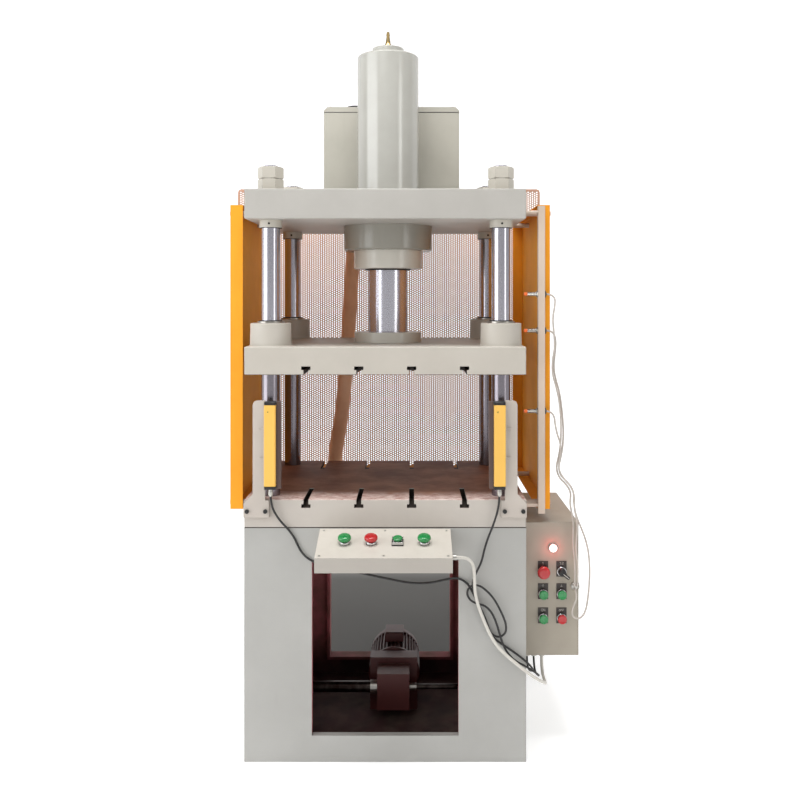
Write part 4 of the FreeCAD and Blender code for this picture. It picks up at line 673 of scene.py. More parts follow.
@dataclass(frozen=True)
class Plastic(Finish):
    """Moulded plastic or rubber.

    Attributes:
        colour: Linear colour.
        roughness: Mean roughness.
        texture: Scale of the moulded grain, in cycles per metre.
        height: Height of the grain, in metres.
        coat: Weight of a clear gloss.
        grime: How strong the finger marks and dust are.
        dirt: The colour of the finger marks and dust.
    """

    colour: Colour = (0.03, 0.03, 0.03, 1.0)
    roughness: float = 0.4
    texture: float = 1500.0
    height: float = 0.00004
    coat: float = 0.0
    grime: float = 0.15
    dirt: Colour = (0.20, 0.18, 0.15, 1.0)

    def tint(self, graph: Graph) -> object:
        """The plastic's colour before its soil, as a colour or a socket."""
        return self.colour

    def shade(self, graph: Graph, shader: bpy.types.Node) -> None:
        """Moulded grain, finger marks and rounded edges."""
        place = graph.place()
        grain = graph.noise(place, self.texture, 2.0)
        marks = graph.step(graph.noise(place, 90.0, 4.0), 0.45, 0.8)
        soil = graph.math("MULTIPLY", marks, self.grime)
        graph.feed(shader.inputs["Base Color"], graph.blend(soil, self.tint(graph), self.dirt))
        graph.feed(shader.inputs["Roughness"], graph.math(
            "ADD", self.roughness, graph.math("MULTIPLY", marks, 0.18), clamp=True))
        shader.inputs["Coat Weight"].default_value = self.coat
        shader.inputs["Coat Roughness"].default_value = 0.12
        graph.feed(shader.inputs["Normal"], self.bump(graph, grain, self.height, 0.7))


@dataclass(frozen=True)
class MeshCoat(Plastic):
    """The mesh's coating, with a greyer top edge: a painted light tone, and dust.

    Attributes:
        dust_and_lit_tone: The colour of the top edge: a painted light tone, and dust.
        foot, full: Heights where the dust starts and where it is full, in metres.
    """

    dust_and_lit_tone: Colour = rgb(178, 142, 122)
    foot: float = 1.60
    full: float = 1.65

    def tint(self, graph: Graph) -> object:
        """The coating's colour, greyer on its top edge as a painted light tone and dust."""
        # Painted light: the strands along the top edge, which stand in full light, get a greyer
        # tone.
        above = graph.step(graph.axes()[2], self.foot, self.full)
        return graph.blend(above, self.colour, self.dust_and_lit_tone)


@dataclass(frozen=True)
class Lamp(Finish):
    """A lit lens: a bright middle that fades into its coloured rim.

    Attributes:
        centre: The lens's centre, in metres.
        radius: The lens's radius, in metres.
        strength: How brightly it glows.
    """

    centre: Point = (0.0, 0.0, 0.0)
    radius: float = 0.012
    strength: float = 6.0

    def shade(self, graph: Graph, shader: bpy.types.Node) -> None:
        """Ribbed coloured plastic that glows from behind."""
        away = graph.add("VectorMath", {0: graph.place(), 1: self.centre}, operation="DISTANCE")
        rim = graph.step(away.outputs["Value"], self.radius * 0.72, self.radius * 1.10)
        glow = graph.blend(rim, rgb(255, 226, 216), rgb(255, 22, 16))
        graph.feed(shader.inputs["Base Color"], graph.blend(rim, rgb(250, 190, 180),
                                                            rgb(200, 40, 36)))
        graph.feed(shader.inputs["Emission Color"], glow)
        shader.inputs["Emission Strength"].default_value = self.strength
        rib = graph.math("PINGPONG", away.outputs["Value"], 0.0008)
        shader.inputs["Roughness"].default_value = 0.25
        graph.feed(shader.inputs["Normal"], self.bump(
            graph, graph.math("MULTIPLY", rib, 1250.0), 0.0002, 0.6))


@dataclass(frozen=True)
class WrappedHose(Finish):
    """A wrapped rubber hose with fine cloth marks and a film of dust.

    Attributes:
        colour, second: The two colours of the wrapping's blotches.
    """

    colour: Colour = (0.2, 0.1, 0.05, 1.0)
    second: Colour = (0.3, 0.15, 0.1, 1.0)

    def shade(self, graph: Graph, shader: bpy.types.Node) -> None:
        """Rings of the wrapping cloth over blotched rubber."""
        _, _, z = graph.axes()
        place = graph.place()
        blotch = graph.step(graph.noise(place, 11.0, 6.0), 0.35, 0.7)
        graph.feed(shader.inputs["Base Color"], graph.blend(blotch, self.colour, self.second))
        ring = graph.math("MULTIPLY", graph.math("PINGPONG", z, 0.004), 250.0)
        cloth = graph.math("ADD", ring, graph.math("MULTIPLY", graph.noise(place, 1800.0, 1.0),
                                                   0.5))
        graph.feed(shader.inputs["Roughness"], graph.math(
            "ADD", 0.5, graph.math("MULTIPLY", blotch, 0.2)))
        graph.feed(shader.inputs["Normal"], self.bump(graph, cloth, 0.0003, 0.5))


# ------------------------------------------------------------------
# The palette
# ------------------------------------------------------------------
ENAMEL = rgb(173, 170, 164)
GREEN = rgb(24, 132, 66)
RED = rgb(178, 26, 30)


class Look(Enum):
    """Every finish on the press."""

    GREY = Paint("grey_enamel", ENAMEL)
    CYLINDER = Paint("cylinder_enamel", rgb(172, 171, 164), roughness=0.10, dust=0.1, stain=0.12,
                     gloss=1.0)
    # Lit and shaded copies of one enamel: painted shade on the ring nut under the crown, painted
    # light on the gland and flange.
    RING_SHADED = Paint("ring_enamel_shaded", rgb(144, 141, 132), roughness=0.14, dust=0.1, stain=0.12)
    GLAND_LIT = Paint("gland_enamel_lit", rgb(198, 194, 184), roughness=0.16, dust=0.1, stain=0.12)
    NUT = Paint("nut_enamel", rgb(188, 183, 172), roughness=0.30, wear=0.55, radius=0.002)
    SLIDE = SlidePaint("slide_enamel", rgb(184, 178, 168))
    BASE = BasePaint("base_enamel", rgb(167, 166, 162), inner=rgb(196, 112, 118))
    TABLE = TablePaint("table_enamel", rgb(188, 181, 173), roughness=0.5, dust=0.1, stain=0.12,
                       gloss=0.3)
    TANK = Paint("tank_enamel", rgb(178, 175, 164), roughness=0.40, dust=0.4, stain=0.14)
    CABINET = Paint("cabinet_enamel", rgb(164, 156, 142), roughness=0.44, stain=0.14)
    CONSOLE = ConsolePaint("console_enamel", rgb(202, 196, 186), roughness=0.40, stain=0.06)
    BRACKET = BracketPaint("bracket_enamel", rgb(188, 179, 170), stain=0.12)
    RAIL = Paint("rail_enamel", rgb(206, 188, 172), stain=0.12)
    GUARD = Paint("guard_enamel", rgb(246, 164, 46), roughness=0.5, stain=0.14, dust=0.1,
                  gloss=0.15)
    MESH = MeshCoat("mesh_enamel", rgb(214, 147, 88), roughness=0.75, texture=60.0, grime=0.3,
                    dirt=rgb(182, 118, 70))
    MOTOR = Paint("motor_enamel", rgb(84, 38, 36), roughness=0.40, stain=0.2, dust=0.35)
    CURTAIN = Paint("curtain_enamel", rgb(232, 182, 84), roughness=0.42, wear=0.2, stain=0.06,
                    radius=0.0006)
    CHROME = Metal("chromed_bar", rgb(204, 203, 212), roughness=0.19, marks=0.02, tarnish=0.12,
                   film=rgb(120, 112, 118), relief=0.008, metallic=0.75)
    COLUMN = ColumnMetal("column_dark_low", rgb(192, 190, 199), roughness=0.19, marks=0.02,
                         tarnish=0.12, film=rgb(112, 102, 106), relief=0.008, metallic=0.88)
    NUT_STEEL = Metal("turned_steel", rgb(170, 166, 160), roughness=0.28, stretch=(1, 1, 6),
                      tarnish=0.3)
    ZINC = Metal("zinc_plate", rgb(190, 188, 182), roughness=0.32, stretch=(1, 1, 1),
                 tarnish=0.25)
    PIPE = PipeMetal("drawn_pipe", rgb(140, 136, 132), roughness=0.34, tarnish=0.4)
    ALLOY = Metal("cast_alloy", rgb(150, 148, 144), roughness=0.48, stretch=(1, 1, 1), marks=0.2,
                  tarnish=0.5)
    BRASS = Metal("turned_brass", rgb(158, 136, 92), roughness=0.34, tarnish=0.45,
                  film=rgb(92, 70, 40))
    COLLAR = Metal("button_collar", rgb(206, 206, 208), roughness=0.16, stretch=(1, 1, 1),
                   marks=0.06, tarnish=0.1)
    SENSOR = TippedMetal("sensor_barrel", rgb(200, 198, 192), roughness=0.22, low=0.4142,
                         high=0.4655, tip=rgb(238, 110, 34), end=rgb(40, 40, 42))
    BLACK = Plastic("black_moulding", rgb(26, 26, 27), roughness=0.38)
    # Painted shade: near black drawn in screw sockets, slots, seams and hollows in place of their
    # shade.
    RECESS_SHADE = Plastic("painted_recess_shade", rgb(12, 12, 12), roughness=0.7)
    SCREW = Metal("black_screw", rgb(52, 50, 50), roughness=0.4, stretch=(1, 1, 1), tarnish=0.3,
                  film=rgb(26, 24, 24))
    GREEN = Plastic("green_cap", GREEN, roughness=0.26, coat=0.5, height=0.00001)
    RED = Plastic("red_cap", RED, roughness=0.28, coat=0.4, height=0.00001)
    LABEL = Plastic("label_plate", rgb(46, 38, 34), roughness=0.35, height=0.00001)
    LETTER = Plastic("label_letters", rgb(214, 208, 198), roughness=0.5)
    PANEL = Plastic("smoked_window", rgb(38, 24, 20), roughness=0.14, coat=0.6, height=0.00001,
                    grime=0.1)
    CABLE = Plastic("black_sheath", rgb(30, 29, 30), roughness=0.46, texture=700.0)
    GREY_CABLE = Plastic("grey_sheath", rgb(184, 176, 168), roughness=0.5, texture=700.0)
    CONDUIT = Plastic("grey_conduit", rgb(200, 196, 188), roughness=0.45, texture=700.0)
    HOSE = WrappedHose("wrapped_hose", rgb(255, 204, 166), rgb(240, 186, 148))
    LAMP = Lamp("lit_lens", centre=(0.490, -0.2235, 0.583), radius=0.0125)
    DIAL = Plastic("gauge_dial", rgb(232, 230, 222), roughness=0.3, coat=0.4)
    SEAL = Plastic("rubber_seal", rgb(30, 29, 28), roughness=0.6)

    @property
    def made(self) -> bpy.types.Material:
        """The finish's material."""
        return self.value.material()


# ------------------------------------------------------------------
# Surfaces
# ------------------------------------------------------------------
@dataclass
class Surface:
    """Points and faces that become one object.

    Attributes:
        points: Blocks of points, one row each.
        faces: Every face's point numbers.
        looks: The material number of each face.
        count: How many points there are so far.
    """

    points: list[np.ndarray] = field(default_factory=list)
    faces: list[list[int]] = field(default_factory=list)
    looks: list[int] = field(default_factory=list)
    count: int = 0

    def add(self, points: np.ndarray, faces: np.ndarray | Sequence[Sequence[int]],
            look: int = 0) -> None:
        """Adds points and the faces between them.

        Args:
            points: An array of shape (n, 3), in metres.
            faces: Point numbers within this block.
            look: The material number.
        """
        rows = faces.tolist() if isinstance(faces, np.ndarray) else faces
        self.points.append(points)
        self.faces.extend([number + self.count for number in row] for row in rows)
        self.looks.extend([look] * len(rows))
        self.count += len(points)

    def build(self, name: str, looks: Sequence[Look], body: str = ROOT,
              sharp: float = 30.0) -> bpy.types.Object:
        """Makes the object and fixes it to a body.

        Args:
            name: The object's name.
            looks: Its finishes, by material number.
            body: The body it moves with.
            sharp: Edges that turn more than this many degrees stay sharp.

        Returns:
            The new object.
        """
        mesh = bpy.data.meshes.new(name)
        mesh.from_pydata(np.concatenate(self.points).tolist(), [], self.faces)
        for look in looks:
            mesh.materials.append(look.made)
        mesh.polygons.foreach_set("material_index", self.looks)
        mesh.shade_smooth()
        mesh.set_sharp_from_angle(angle=math.radians(sharp))
        mesh.update()
        thing = bpy.data.objects.new(name, mesh)
        bpy.context.scene.collection.objects.link(thing)
        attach(thing, body)
        log.info("%s: %d points, %d faces", name, self.count, len(self.faces))
        return thing


ON_AXIS = 1e-7  # a smaller radius in metres counts as a point on the axis


def basis(at: Point, along: Point, up: Point = (0.0, 0.0, 1.0)) -> Matrix:
    """A frame whose Z points along a direction.

    Args:
        at: Its origin, in metres.
        along: Where its Z points.
        up: Where its Y leans towards.

    Returns:
        The frame as a matrix.
    """
    z = Vector(along).normalized()
    x = Vector(up).cross(z)
    if x.length < 1e-6:
        x = Vector((1.0, 0.0, 0.0))
    x.normalize()
    y = z.cross(x)
    turned = Matrix((x, y, z)).transposed().to_4x4()
    return Matrix.Translation(at) @ turned


def moved(points: np.ndarray, frame_matrix: Matrix) -> np.ndarray:
    """Points carried into a frame: each is turned and then shifted."""
    m = np.array(frame_matrix)
    return points @ m[:3, :3].T + m[:3, 3]


def rounded(profile: Sequence[tuple[float, float]], radius: float,
            steps: int = 3) -> list[tuple[float, float]]:
    """A profile with its inner corners rounded.

    Each corner becomes a curve that starts and ends a radius away from it and leans on it:
    (1 - t)(1 - t) start + 2 t (1 - t) corner + t t end, for t from 0 to 1.

    Args:
        profile: Radius and height pairs, in mm.
        radius: The corner radius, in mm.
        steps: Pieces per corner.

    Returns:
        The rounded profile.
    """
    result = [profile[0]]
    for before, here, after in zip(profile, profile[1:], profile[2:]):
        a, b, c = (np.array(p, dtype=float) for p in (before, here, after))
        one, two = a - b, c - b
        reach = min(radius, 0.45 * np.linalg.norm(one), 0.45 * np.linalg.norm(two))
        start, end = b + one / np.linalg.norm(one) * reach, b + two / np.linalg.norm(two) * reach
        for k in range(steps + 1):
            t = k / steps
            spot = (1 - t) ** 2 * start + 2 * t * (1 - t) * b + t ** 2 * end
            result.append((float(spot[0]), float(spot[1])))
    result.append(profile[-1])
    return result


def lathe(surface: Surface, profile: Sequence[tuple[float, float]], place: Matrix,
          look: int = 0, segments: int = 48, wobble: Callable | None = None) -> None:
    """Turns a profile about a frame's Z and adds it.

    A point at radius r and height h lies at (r cos a, r sin a, h) for each angle a. Both ends are
    closed by a flat face unless they reach the axis.

    Args:
        surface: Where it goes.
        profile: Radius and height pairs in mm, from one end to the other.
        place: The frame.
        look: The material number.
        segments: Steps round.
        wobble: Takes the angle and height arrays and gives a factor on the radius.
    """
    shape = np.array(profile, dtype=float) * MM
    turn = np.linspace(0.0, 2 * math.pi, segments, endpoint=False)
    radius = np.repeat(shape[:, :1], segments, axis=1)
    height = np.repeat(shape[:, 1:], segments, axis=1)
    angle = np.repeat(turn[None, :], len(shape), axis=0)
    if wobble is not None:
        radius = radius * wobble(angle, height)
    points = np.stack([radius * np.cos(angle), radius * np.sin(angle), height], axis=-1)
    ring = np.arange(segments)
    after = (ring + 1) % segments
    rows = np.arange(len(shape) - 1)[:, None] * segments
    quads = np.stack([rows + ring, rows + after, rows + segments + after, rows + segments + ring],
                     axis=-1).reshape(-1, 4)
    flat = moved(points.reshape(-1, 3), place)
    last = (len(shape) - 1) * segments
    ends = []
    if shape[0, 0] > ON_AXIS:
        ends.append(list(reversed(range(segments))))
    if shape[-1, 0] > ON_AXIS:
        ends.append(list(range(last, last + segments)))
    surface.add(flat, quads.tolist() + ends, look)


def block(surface: Surface, low: Point, high: Point, look: int = 0, soft: float = 0.0,
          place: Matrix | None = None) -> None:
    """Adds a box with chamfered upright edges and rims.

    With a chamfer it is four eight-sided rings, the first and the last one drawn in.

    Args:
        surface: Where it goes.
        low, high: Its corners, in mm.
        look: The material number.
        soft: The chamfer, in mm.
        place: A frame for the corners, or None for the shared one.
    """
    a, b = np.array(low, dtype=float), np.array(high, dtype=float)
    s = min(soft, float((b - a).min()) * 0.45)
    if s <= 0:
        grid = np.array([[x, y, z] for z in (a[2], b[2]) for x, y in
                         ((a[0], a[1]), (b[0], a[1]), (b[0], b[1]), (a[0], b[1]))])
        faces = [[3, 2, 1, 0], [4, 5, 6, 7], [0, 1, 5, 4], [1, 2, 6, 5], [2, 3, 7, 6],
                 [3, 0, 4, 7]]
    else:
        def ring(inset: float, z: float) -> list[Point]:
            """The eight corners at a height, drawn in by an inset."""
            x0, y0, x1, y1 = a[0] + inset, a[1] + inset, b[0] - inset, b[1] - inset
            return [(x0 + s, y0, z), (x1 - s, y0, z), (x1, y0 + s, z), (x1, y1 - s, z),
                    (x1 - s, y1, z), (x0 + s, y1, z), (x0, y1 - s, z), (x0, y0 + s, z)]
        grid = np.array(ring(s * 0.999, a[2]) + ring(0, a[2] + s) + ring(0, b[2] - s)
                        + ring(s * 0.999, b[2]))
        faces = [list(range(7, -1, -1)), list(range(24, 32))]
        for k in range(3):
            faces += [[8 * k + i, 8 * k + (i + 1) % 8, 8 * k + 8 + (i + 1) % 8, 8 * k + 8 + i]
                      for i in range(8)]
    points = grid * MM
    surface.add(points if place is None else moved(points, place), faces, look)


def screw(surface: Surface, place: Matrix, size: float, head: float, look: int,
          hole: int | None = None) -> None:
    """A socket screw's head.

    Args:
        surface: Where it goes.
        place: Frame at the head's seat; its Z points out.
        size: Head width, in mm.
        head: Head height, in mm.
        look: The head's material number.
        hole: The material number of the painted shade in its recess, or None to leave it out.
    """
    r = size / 2
    lathe(surface, [(r, 0), (r, head * 0.85), (r * 0.93, head), (r * 0.55, head),
                    (r * 0.50, head * 0.6)], place, look, 32)
    # The recess: a short ring of painted shade inside the head.
    if hole is not None:
        lathe(surface, [(r * 0.51, head * 0.55), (r * 0.51, head * 0.6)], place, hole, 6)


# ------------------------------------------------------------------
# Cables
# ------------------------------------------------------------------
THICK = 20.0  # a cord over this many mm is a hose and is drawn with more faces


@dataclass
class Cable:
    """A round cable that hangs along its route.

    Attributes:
        node: The CAD piece that it stands for.
        diameter: In mm.
        length: Its real length, in mm.
        look: Its finish.
        route: The points that pull its centreline, in mm.
        stiffness: How easily it bends; not used.
    """

    node: str
    diameter: float
    length: float
    look: Look
    route: Sequence[Point]
    stiffness: str = "medium"

    def build(self) -> None:
        """Its centreline is a quadratic NURBS curve that starts and ends at the route's ends.
        """
        curve = bpy.data.curves.new(f"{self.node}_line", "CURVE")
        curve.dimensions = "3D"
        curve.bevel_depth = self.diameter / 2 * MM
        curve.bevel_resolution = 4 if self.diameter < THICK else 14
        curve.resolution_u = 6 if self.diameter < THICK else 16
        curve.use_fill_caps = True
        spline = curve.splines.new("NURBS")
        spline.points.add(len(self.route) - 1)
        points = np.ones((len(self.route), 4))
        points[:, :3] = np.array(self.route) * MM
        spline.points.foreach_set("co", points.ravel())
        spline.order_u = 3
        spline.use_endpoint_u = True
        curve.materials.append(self.look.made)
        thing = bpy.data.objects.new(f"{self.node}_line", curve)
        bpy.context.scene.collection.objects.link(thing)
        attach(thing, ROOT)
        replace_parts(thing, self.node)
        log.info("%s: %.0f mm along %d points", self.node, self.length, len(self.route))


CABLES = [
    Cable("suction_hose", 50, 905, Look.HOSE, [
        (-131, 332, 1592), (-131, 332, 1505), (-139, 332, 1390), (-151, 333, 1171),
        (-162, 332, 1020), (-175, 332, 885), (-199, 332, 765), (-199, 332, 690)], "stiff"),
    Cable("console_conduit", 9, 673, Look.CONDUIT, [
        (197, -400, 610), (219, -400, 610), (238, -393, 598), (247, -378, 572), (249, -359, 534),
        (251, -347, 500), (258, -338, 466), (269, -333, 434), (282, -331, 401), (297, -331, 368),
        (316, -331, 339), (342, -330, 313), (371, -329, 289), (400, -327, 265), (427, -317, 243),
        (449, -294, 224), (461, -264, 208), (464, -233, 199), (463, -207, 200), (462, -186, 210),
        (462, -176, 231), (462, -176, 253)],
        "stiff"),
    Cable("cable_curtain_left", 6, 1139, Look.CABLE, [
        (-322, -319, 758), (-321, -318, 736), (-311, -314, 709), (-294, -309, 683),
        (-273, -306, 661), (-256, -305, 636), (-244, -305, 608), (-226, -305, 583),
        (-198, -305, 567), (-160, -305, 559), (-119, -306, 550), (-78, -305, 540),
        (-36, -306, 531), (7, -305, 522), (49, -306, 513), (92, -305, 508), (135, -306, 511),
        (172, -305, 520), (205, -305, 525), (231, -305, 511), (246, -305, 487), (259, -305, 459),
        (274, -305, 430), (287, -305, 401), (297, -305, 370), (311, -305, 349), (336, -305, 333),
        (362, -306, 316), (386, -308, 299), (407, -305, 280), (420, -293, 261), (424, -268, 246),
        (422, -241, 234), (420, -215, 225), (418, -194, 226), (418, -180, 237), (418, -176, 253)]),
    Cable("cable_curtain_right", 6, 1149, Look.CABLE, [
        (322, -319, 758), (321, -318, 734), (314, -316, 703), (303, -314, 670), (290, -313, 638),
        (280, -313, 606), (273, -313, 573), (259, -313, 545), (247, -313, 519), (247, -313, 491),
        (258, -313, 463), (270, -313, 436), (281, -312, 410), (289, -312, 384), (303, -312, 364),
        (324, -312, 358), (341, -313, 371), (342, -314, 394), (333, -315, 419), (321, -316, 444),
        (307, -317, 469), (288, -319, 491), (266, -320, 508), (242, -321, 509), (229, -322, 490),
        (237, -323, 468), (258, -323, 457), (281, -322, 452), (299, -321, 434), (312, -320, 407),
        (321, -319, 377), (330, -319, 346), (344, -319, 317), (366, -319, 295), (393, -318, 281),
        (418, -313, 264), (435, -298, 247), (440, -272, 233), (440, -243, 224), (439, -216, 217),
        (438, -195, 222), (438, -180, 236), (438, -176, 253)]),
    Cable("sensor_cable_high", 5, 905, Look.GREY_CABLE, [
        (470, -215, 1328), (484, -217, 1327), (495, -222, 1315), (493, -227, 1293),
        (486, -230, 1257), (490, -231, 1214), (493, -231, 1174), (486, -230, 1136),
        (485, -230, 1096), (496, -230, 1059), (505, -230, 1020), (509, -230, 980),
        (511, -230, 939), (510, -230, 898), (505, -230, 859), (496, -230, 825), (503, -230, 794),
        (526, -230, 773), (540, -230, 749), (536, -230, 718), (542, -230, 689), (547, -230, 657),
        (545, -232, 623), (545, -236, 588), (549, -240, 554), (549, -243, 522), (548, -244, 502),
        (548, -244, 486), (548, -234, 476), (548, -220, 476)]),
    Cable("sensor_cable_middle", 5, 1003, Look.GREY_CABLE, [
        (470, -215, 1221), (484, -217, 1220), (494, -221, 1208), (497, -222, 1186),
        (494, -222, 1152), (490, -222, 1117), (495, -223, 1082), (506, -223, 1047),
        (512, -223, 1009), (516, -223, 970), (519, -223, 931), (518, -223, 892),
        (512, -223, 854), (504, -223, 822), (511, -223, 796), (533, -223, 777), (549, -223, 752),
        (549, -223, 718), (554, -223, 686), (566, -223, 655), (579, -224, 624), (589, -225, 590),
        (594, -226, 553), (595, -227, 514), (593, -228, 475), (589, -229, 438), (583, -231, 406),
        (569, -234, 384), (549, -238, 384), (539, -242, 401), (544, -244, 423), (552, -244, 440),
        (553, -244, 456), (552, -234, 466), (552, -220, 466)]),
    Cable("sensor_cable_low", 5, 559, Look.GREY_CABLE, [
        (470, -215, 985), (483, -218, 983), (492, -224, 971), (493, -231, 950), (498, -236, 921),
        (508, -237, 894), (509, -237, 864), (502, -237, 837), (505, -237, 809), (522, -237, 786),
        (541, -237, 765), (549, -237, 738), (547, -238, 709), (553, -238, 681), (557, -239, 650),
        (554, -240, 618), (552, -242, 585), (556, -244, 552), (557, -244, 522), (556, -245, 502),
        (556, -244, 486), (556, -234, 476), (556, -220, 476)]),
]


# ------------------------------------------------------------------
# Panel fittings
# ------------------------------------------------------------------
SLOPE = math.atan2(40, 150)
CONSOLE_OUT: Point = (0.0, -math.sin(SLOPE), math.cos(SLOPE))
FRONT: Point = (0.0, -1.0, 0.0)


class Cap(Enum):
    """The kinds of push-button cap: diameter and height in mm."""

    PALM = (37.0, 12.0)
    FLUSH = (27.0, 7.0)


@dataclass
class PushButton:
    """A push button: a moving cap in a fixed collar.

    Attributes:
        node: The CAD cap that it stands for.
        body: The body that the cap moves with.
        at: Where its axis meets the panel, in mm.
        out: Where the panel faces.
        cap: The kind of cap.
        look: The cap's finish.
    """

    node: str
    body: str
    at: Point
    out: Point
    cap: Cap
    look: Look

    @property
    def place(self) -> Matrix:
        """The frame on the panel."""
        return basis(tuple(np.array(self.at) * MM), self.out)

    def build_cap(self) -> None:
        """The stem and the cap."""
        dia, height = self.cap.value
        rim, foot, top = dia / 2, 12.0, 12.0 + height
        stem = [(8.0, -26.0), (8.0, foot), (rim - 1.5, foot), (rim - 0.45, foot + 0.45),
                (rim, foot + 1.5)]
        if self.cap is Cap.PALM:
            crown = [(rim, top - 6.6), (rim - 0.35, top - 4.9), (rim - 1.3, top - 3.3),
                     (rim * 0.80, top - 1.2), (rim * 0.68, top - 0.45), (rim * 0.50, top - 0.05),
                     (rim * 0.25, top), (0.0, top)]
        else:
            crown = [(rim, top - 3.8), (rim - 0.3, top - 2.5), (rim - 1.0, top - 1.6),
                     (rim * 0.82, top - 0.7), (rim * 0.74, top - 0.55), (rim * 0.70, top - 0.9),
                     (rim * 0.30, top - 1.2), (0.0, top - 1.25)]
        surface = Surface()
        lathe(surface, stem + crown, self.place, 0, 56)
        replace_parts(surface.build(f"{self.node}_cap", [self.look], self.body, 50), self.node)

    def add_collar(self, surface: Surface) -> None:
        """The plated collar, its dark washer and the neck behind the panel.

        Args:
            surface: Where they go: material 0 is the plating, 1 the rubber.
        """
        lathe(surface, rounded([(8.3, -26), (11.0, -26), (11.0, 0), (14.75, 0), (14.75, 1.6)],
                               0.2, 1), self.place, 1, 40)
        collar = rounded([(14.75, 1.6), (14.3, 6.2), (13.1, 7.5), (9.6, 7.5), (8.8, 6.6),
                          (8.3, 6.6)], 0.7, 3)
        lathe(surface, collar, self.place, 0, 56,
              lambda angle, height: 1 + 0.008 * np.sign(np.sin(angle * 28))
              * ((height > 0.0022) & (height < 0.0058)))
        lathe(surface, [(8.3, 6.6), (8.3, -26)], self.place, 1, 40)


BUTTONS = [
    PushButton("two_hand_button_left", "two_hand_left", (-109.5, -375, 642), CONSOLE_OUT,
               Cap.PALM, Look.GREEN),
    PushButton("console_stop_button", "console_stop", (-36.5, -375, 642), CONSOLE_OUT, Cap.PALM,
               Look.RED),
    PushButton("console_start_button", "console_start", (36.5, -375, 642), CONSOLE_OUT, Cap.FLUSH,
               Look.GREEN),
    PushButton("two_hand_button_right", "two_hand_right", (109.5, -375, 642), CONSOLE_OUT,
               Cap.PALM, Look.GREEN),
    PushButton("cabinet_stop_button", "cabinet_stop", (461, -211.5, 514), FRONT, Cap.PALM,
               Look.RED),
    PushButton("slide_up_button", "slide_up", (461, -211.5, 448), FRONT, Cap.FLUSH, Look.GREEN),
    PushButton("slide_down_button", "slide_down", (515, -211.5, 448), FRONT, Cap.FLUSH,
               Look.GREEN),
    PushButton("pump_start_button", "pump_start", (461, -211.5, 377), FRONT, Cap.FLUSH,
               Look.GREEN),
    PushButton("pump_stop_button", "pump_stop", (515, -211.5, 377), FRONT, Cap.FLUSH, Look.RED),
]


@dataclass
class PanelFittings:
    """Everything set into the console's and the cabinet's panels.

    Attributes:
        buttons: The push buttons.
        knob_at, lamp_at: Where the selector's and the lamp's axes meet the panel, in mm.
        lever_turn: The selector lever's turn at rest, in radians.
    """

    buttons: Sequence[PushButton]
    knob_at: Point = (515, -211.5, 514)
    lamp_at: Point = (490, -210, 583)
    lever_turn: float = math.radians(40)

    def build(self) -> None:
        """Makes the caps, the collars, the selector and the lamp."""
        collars = Surface()
        for button in self.buttons:
            button.build_cap()
            button.add_collar(collars)
        PushButton("selector", "selector", self.knob_at, FRONT, Cap.FLUSH,
                   Look.BLACK).add_collar(collars)
        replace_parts(collars.build("collars", [Look.COLLAR, Look.SEAL], sharp=40),
                    "button_bezels")
        self.build_selector()
        self.build_lamp()

    def build_selector(self) -> None:
        """The knob with its long lever and its white line."""
        place = basis(tuple(np.array(self.knob_at) * MM), FRONT)
        surface = Surface()
        profile = rounded([(8.0, -26), (8.0, 8.0), (11.8, 8.0), (11.8, 15.2), (9.0, 20), (0, 20)],
                          0.9, 3)
        lathe(surface, profile, place, 0, 64,
              lambda angle, height: 1 + 0.012 * np.sin(angle * 24)
              * ((height > 0.009) & (height < 0.015)))
        turn = Matrix.Translation(place.translation) @ Matrix.Rotation(self.lever_turn, 4, "Y")
        block(surface, (-8.0, -23.6, -4.5), (26.0, -14.0, 4.5), 0, 1.6, turn)
        block(surface, (4.0, -23.7, -0.7), (24.0, -23.5, 0.7), 1, 0.0, turn)
        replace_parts(surface.build("selector_lever", [Look.BLACK, Look.LETTER], "selector", 35),
                    "selector_knob")

    def build_lamp(self) -> None:
        """The ribbed lens in its collar."""
        place = basis(tuple(np.array(self.lamp_at) * MM), FRONT)
        surface = Surface()
        lathe(surface, rounded([(0.0, -26), (11.0, -26), (11.0, 0), (13.0, 0), (13.0, 5.2),
                                (12.2, 6.4), (11.2, 6.4)], 0.5, 2), place, 1, 48)
        lens = [(11.2, 6.2), (11.0, 7.6), (10.2, 9.3), (8.8, 10.6), (6.6, 11.6), (3.6, 12),
                (0.0, 12)]
        lathe(surface, lens, place, 0, 48)
        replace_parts(surface.build("pilot_lens", [Look.LAMP, Look.COLLAR], sharp=50),
                    "pilot_lamp")


class Stroke(Enum):
    """Line figures for the label plates, as point rows on a 2 by 3 grid."""

    UP = (((1, 0), (1, 3)), ((0, 2), (1, 3)), ((2, 2), (1, 3)))
    DOWN = (((1, 0), (1, 3)), ((0, 1), (1, 0)), ((2, 1), (1, 0)))
    ONE = (((1, 0), (1, 3)), ((0.3, 2.3), (1, 3)))
    ZERO = (((0, 0), (2, 0)), ((2, 0), (2, 3)), ((2, 3), (0, 3)), ((0, 3), (0, 0)))
    TWO = (((0, 3), (2, 3)), ((2, 3), (2, 1.5)), ((2, 1.5), (0, 1.5)), ((0, 1.5), (0, 0)),
           ((0, 0), (2, 0)))
    EN = (((0, 0), (0, 3)), ((0, 3), (2, 0)), ((2, 0), (2, 3)))
    EF = (((0, 0), (0, 3)), ((0, 3), (2, 3)), ((0, 1.6), (1.5, 1.6)))


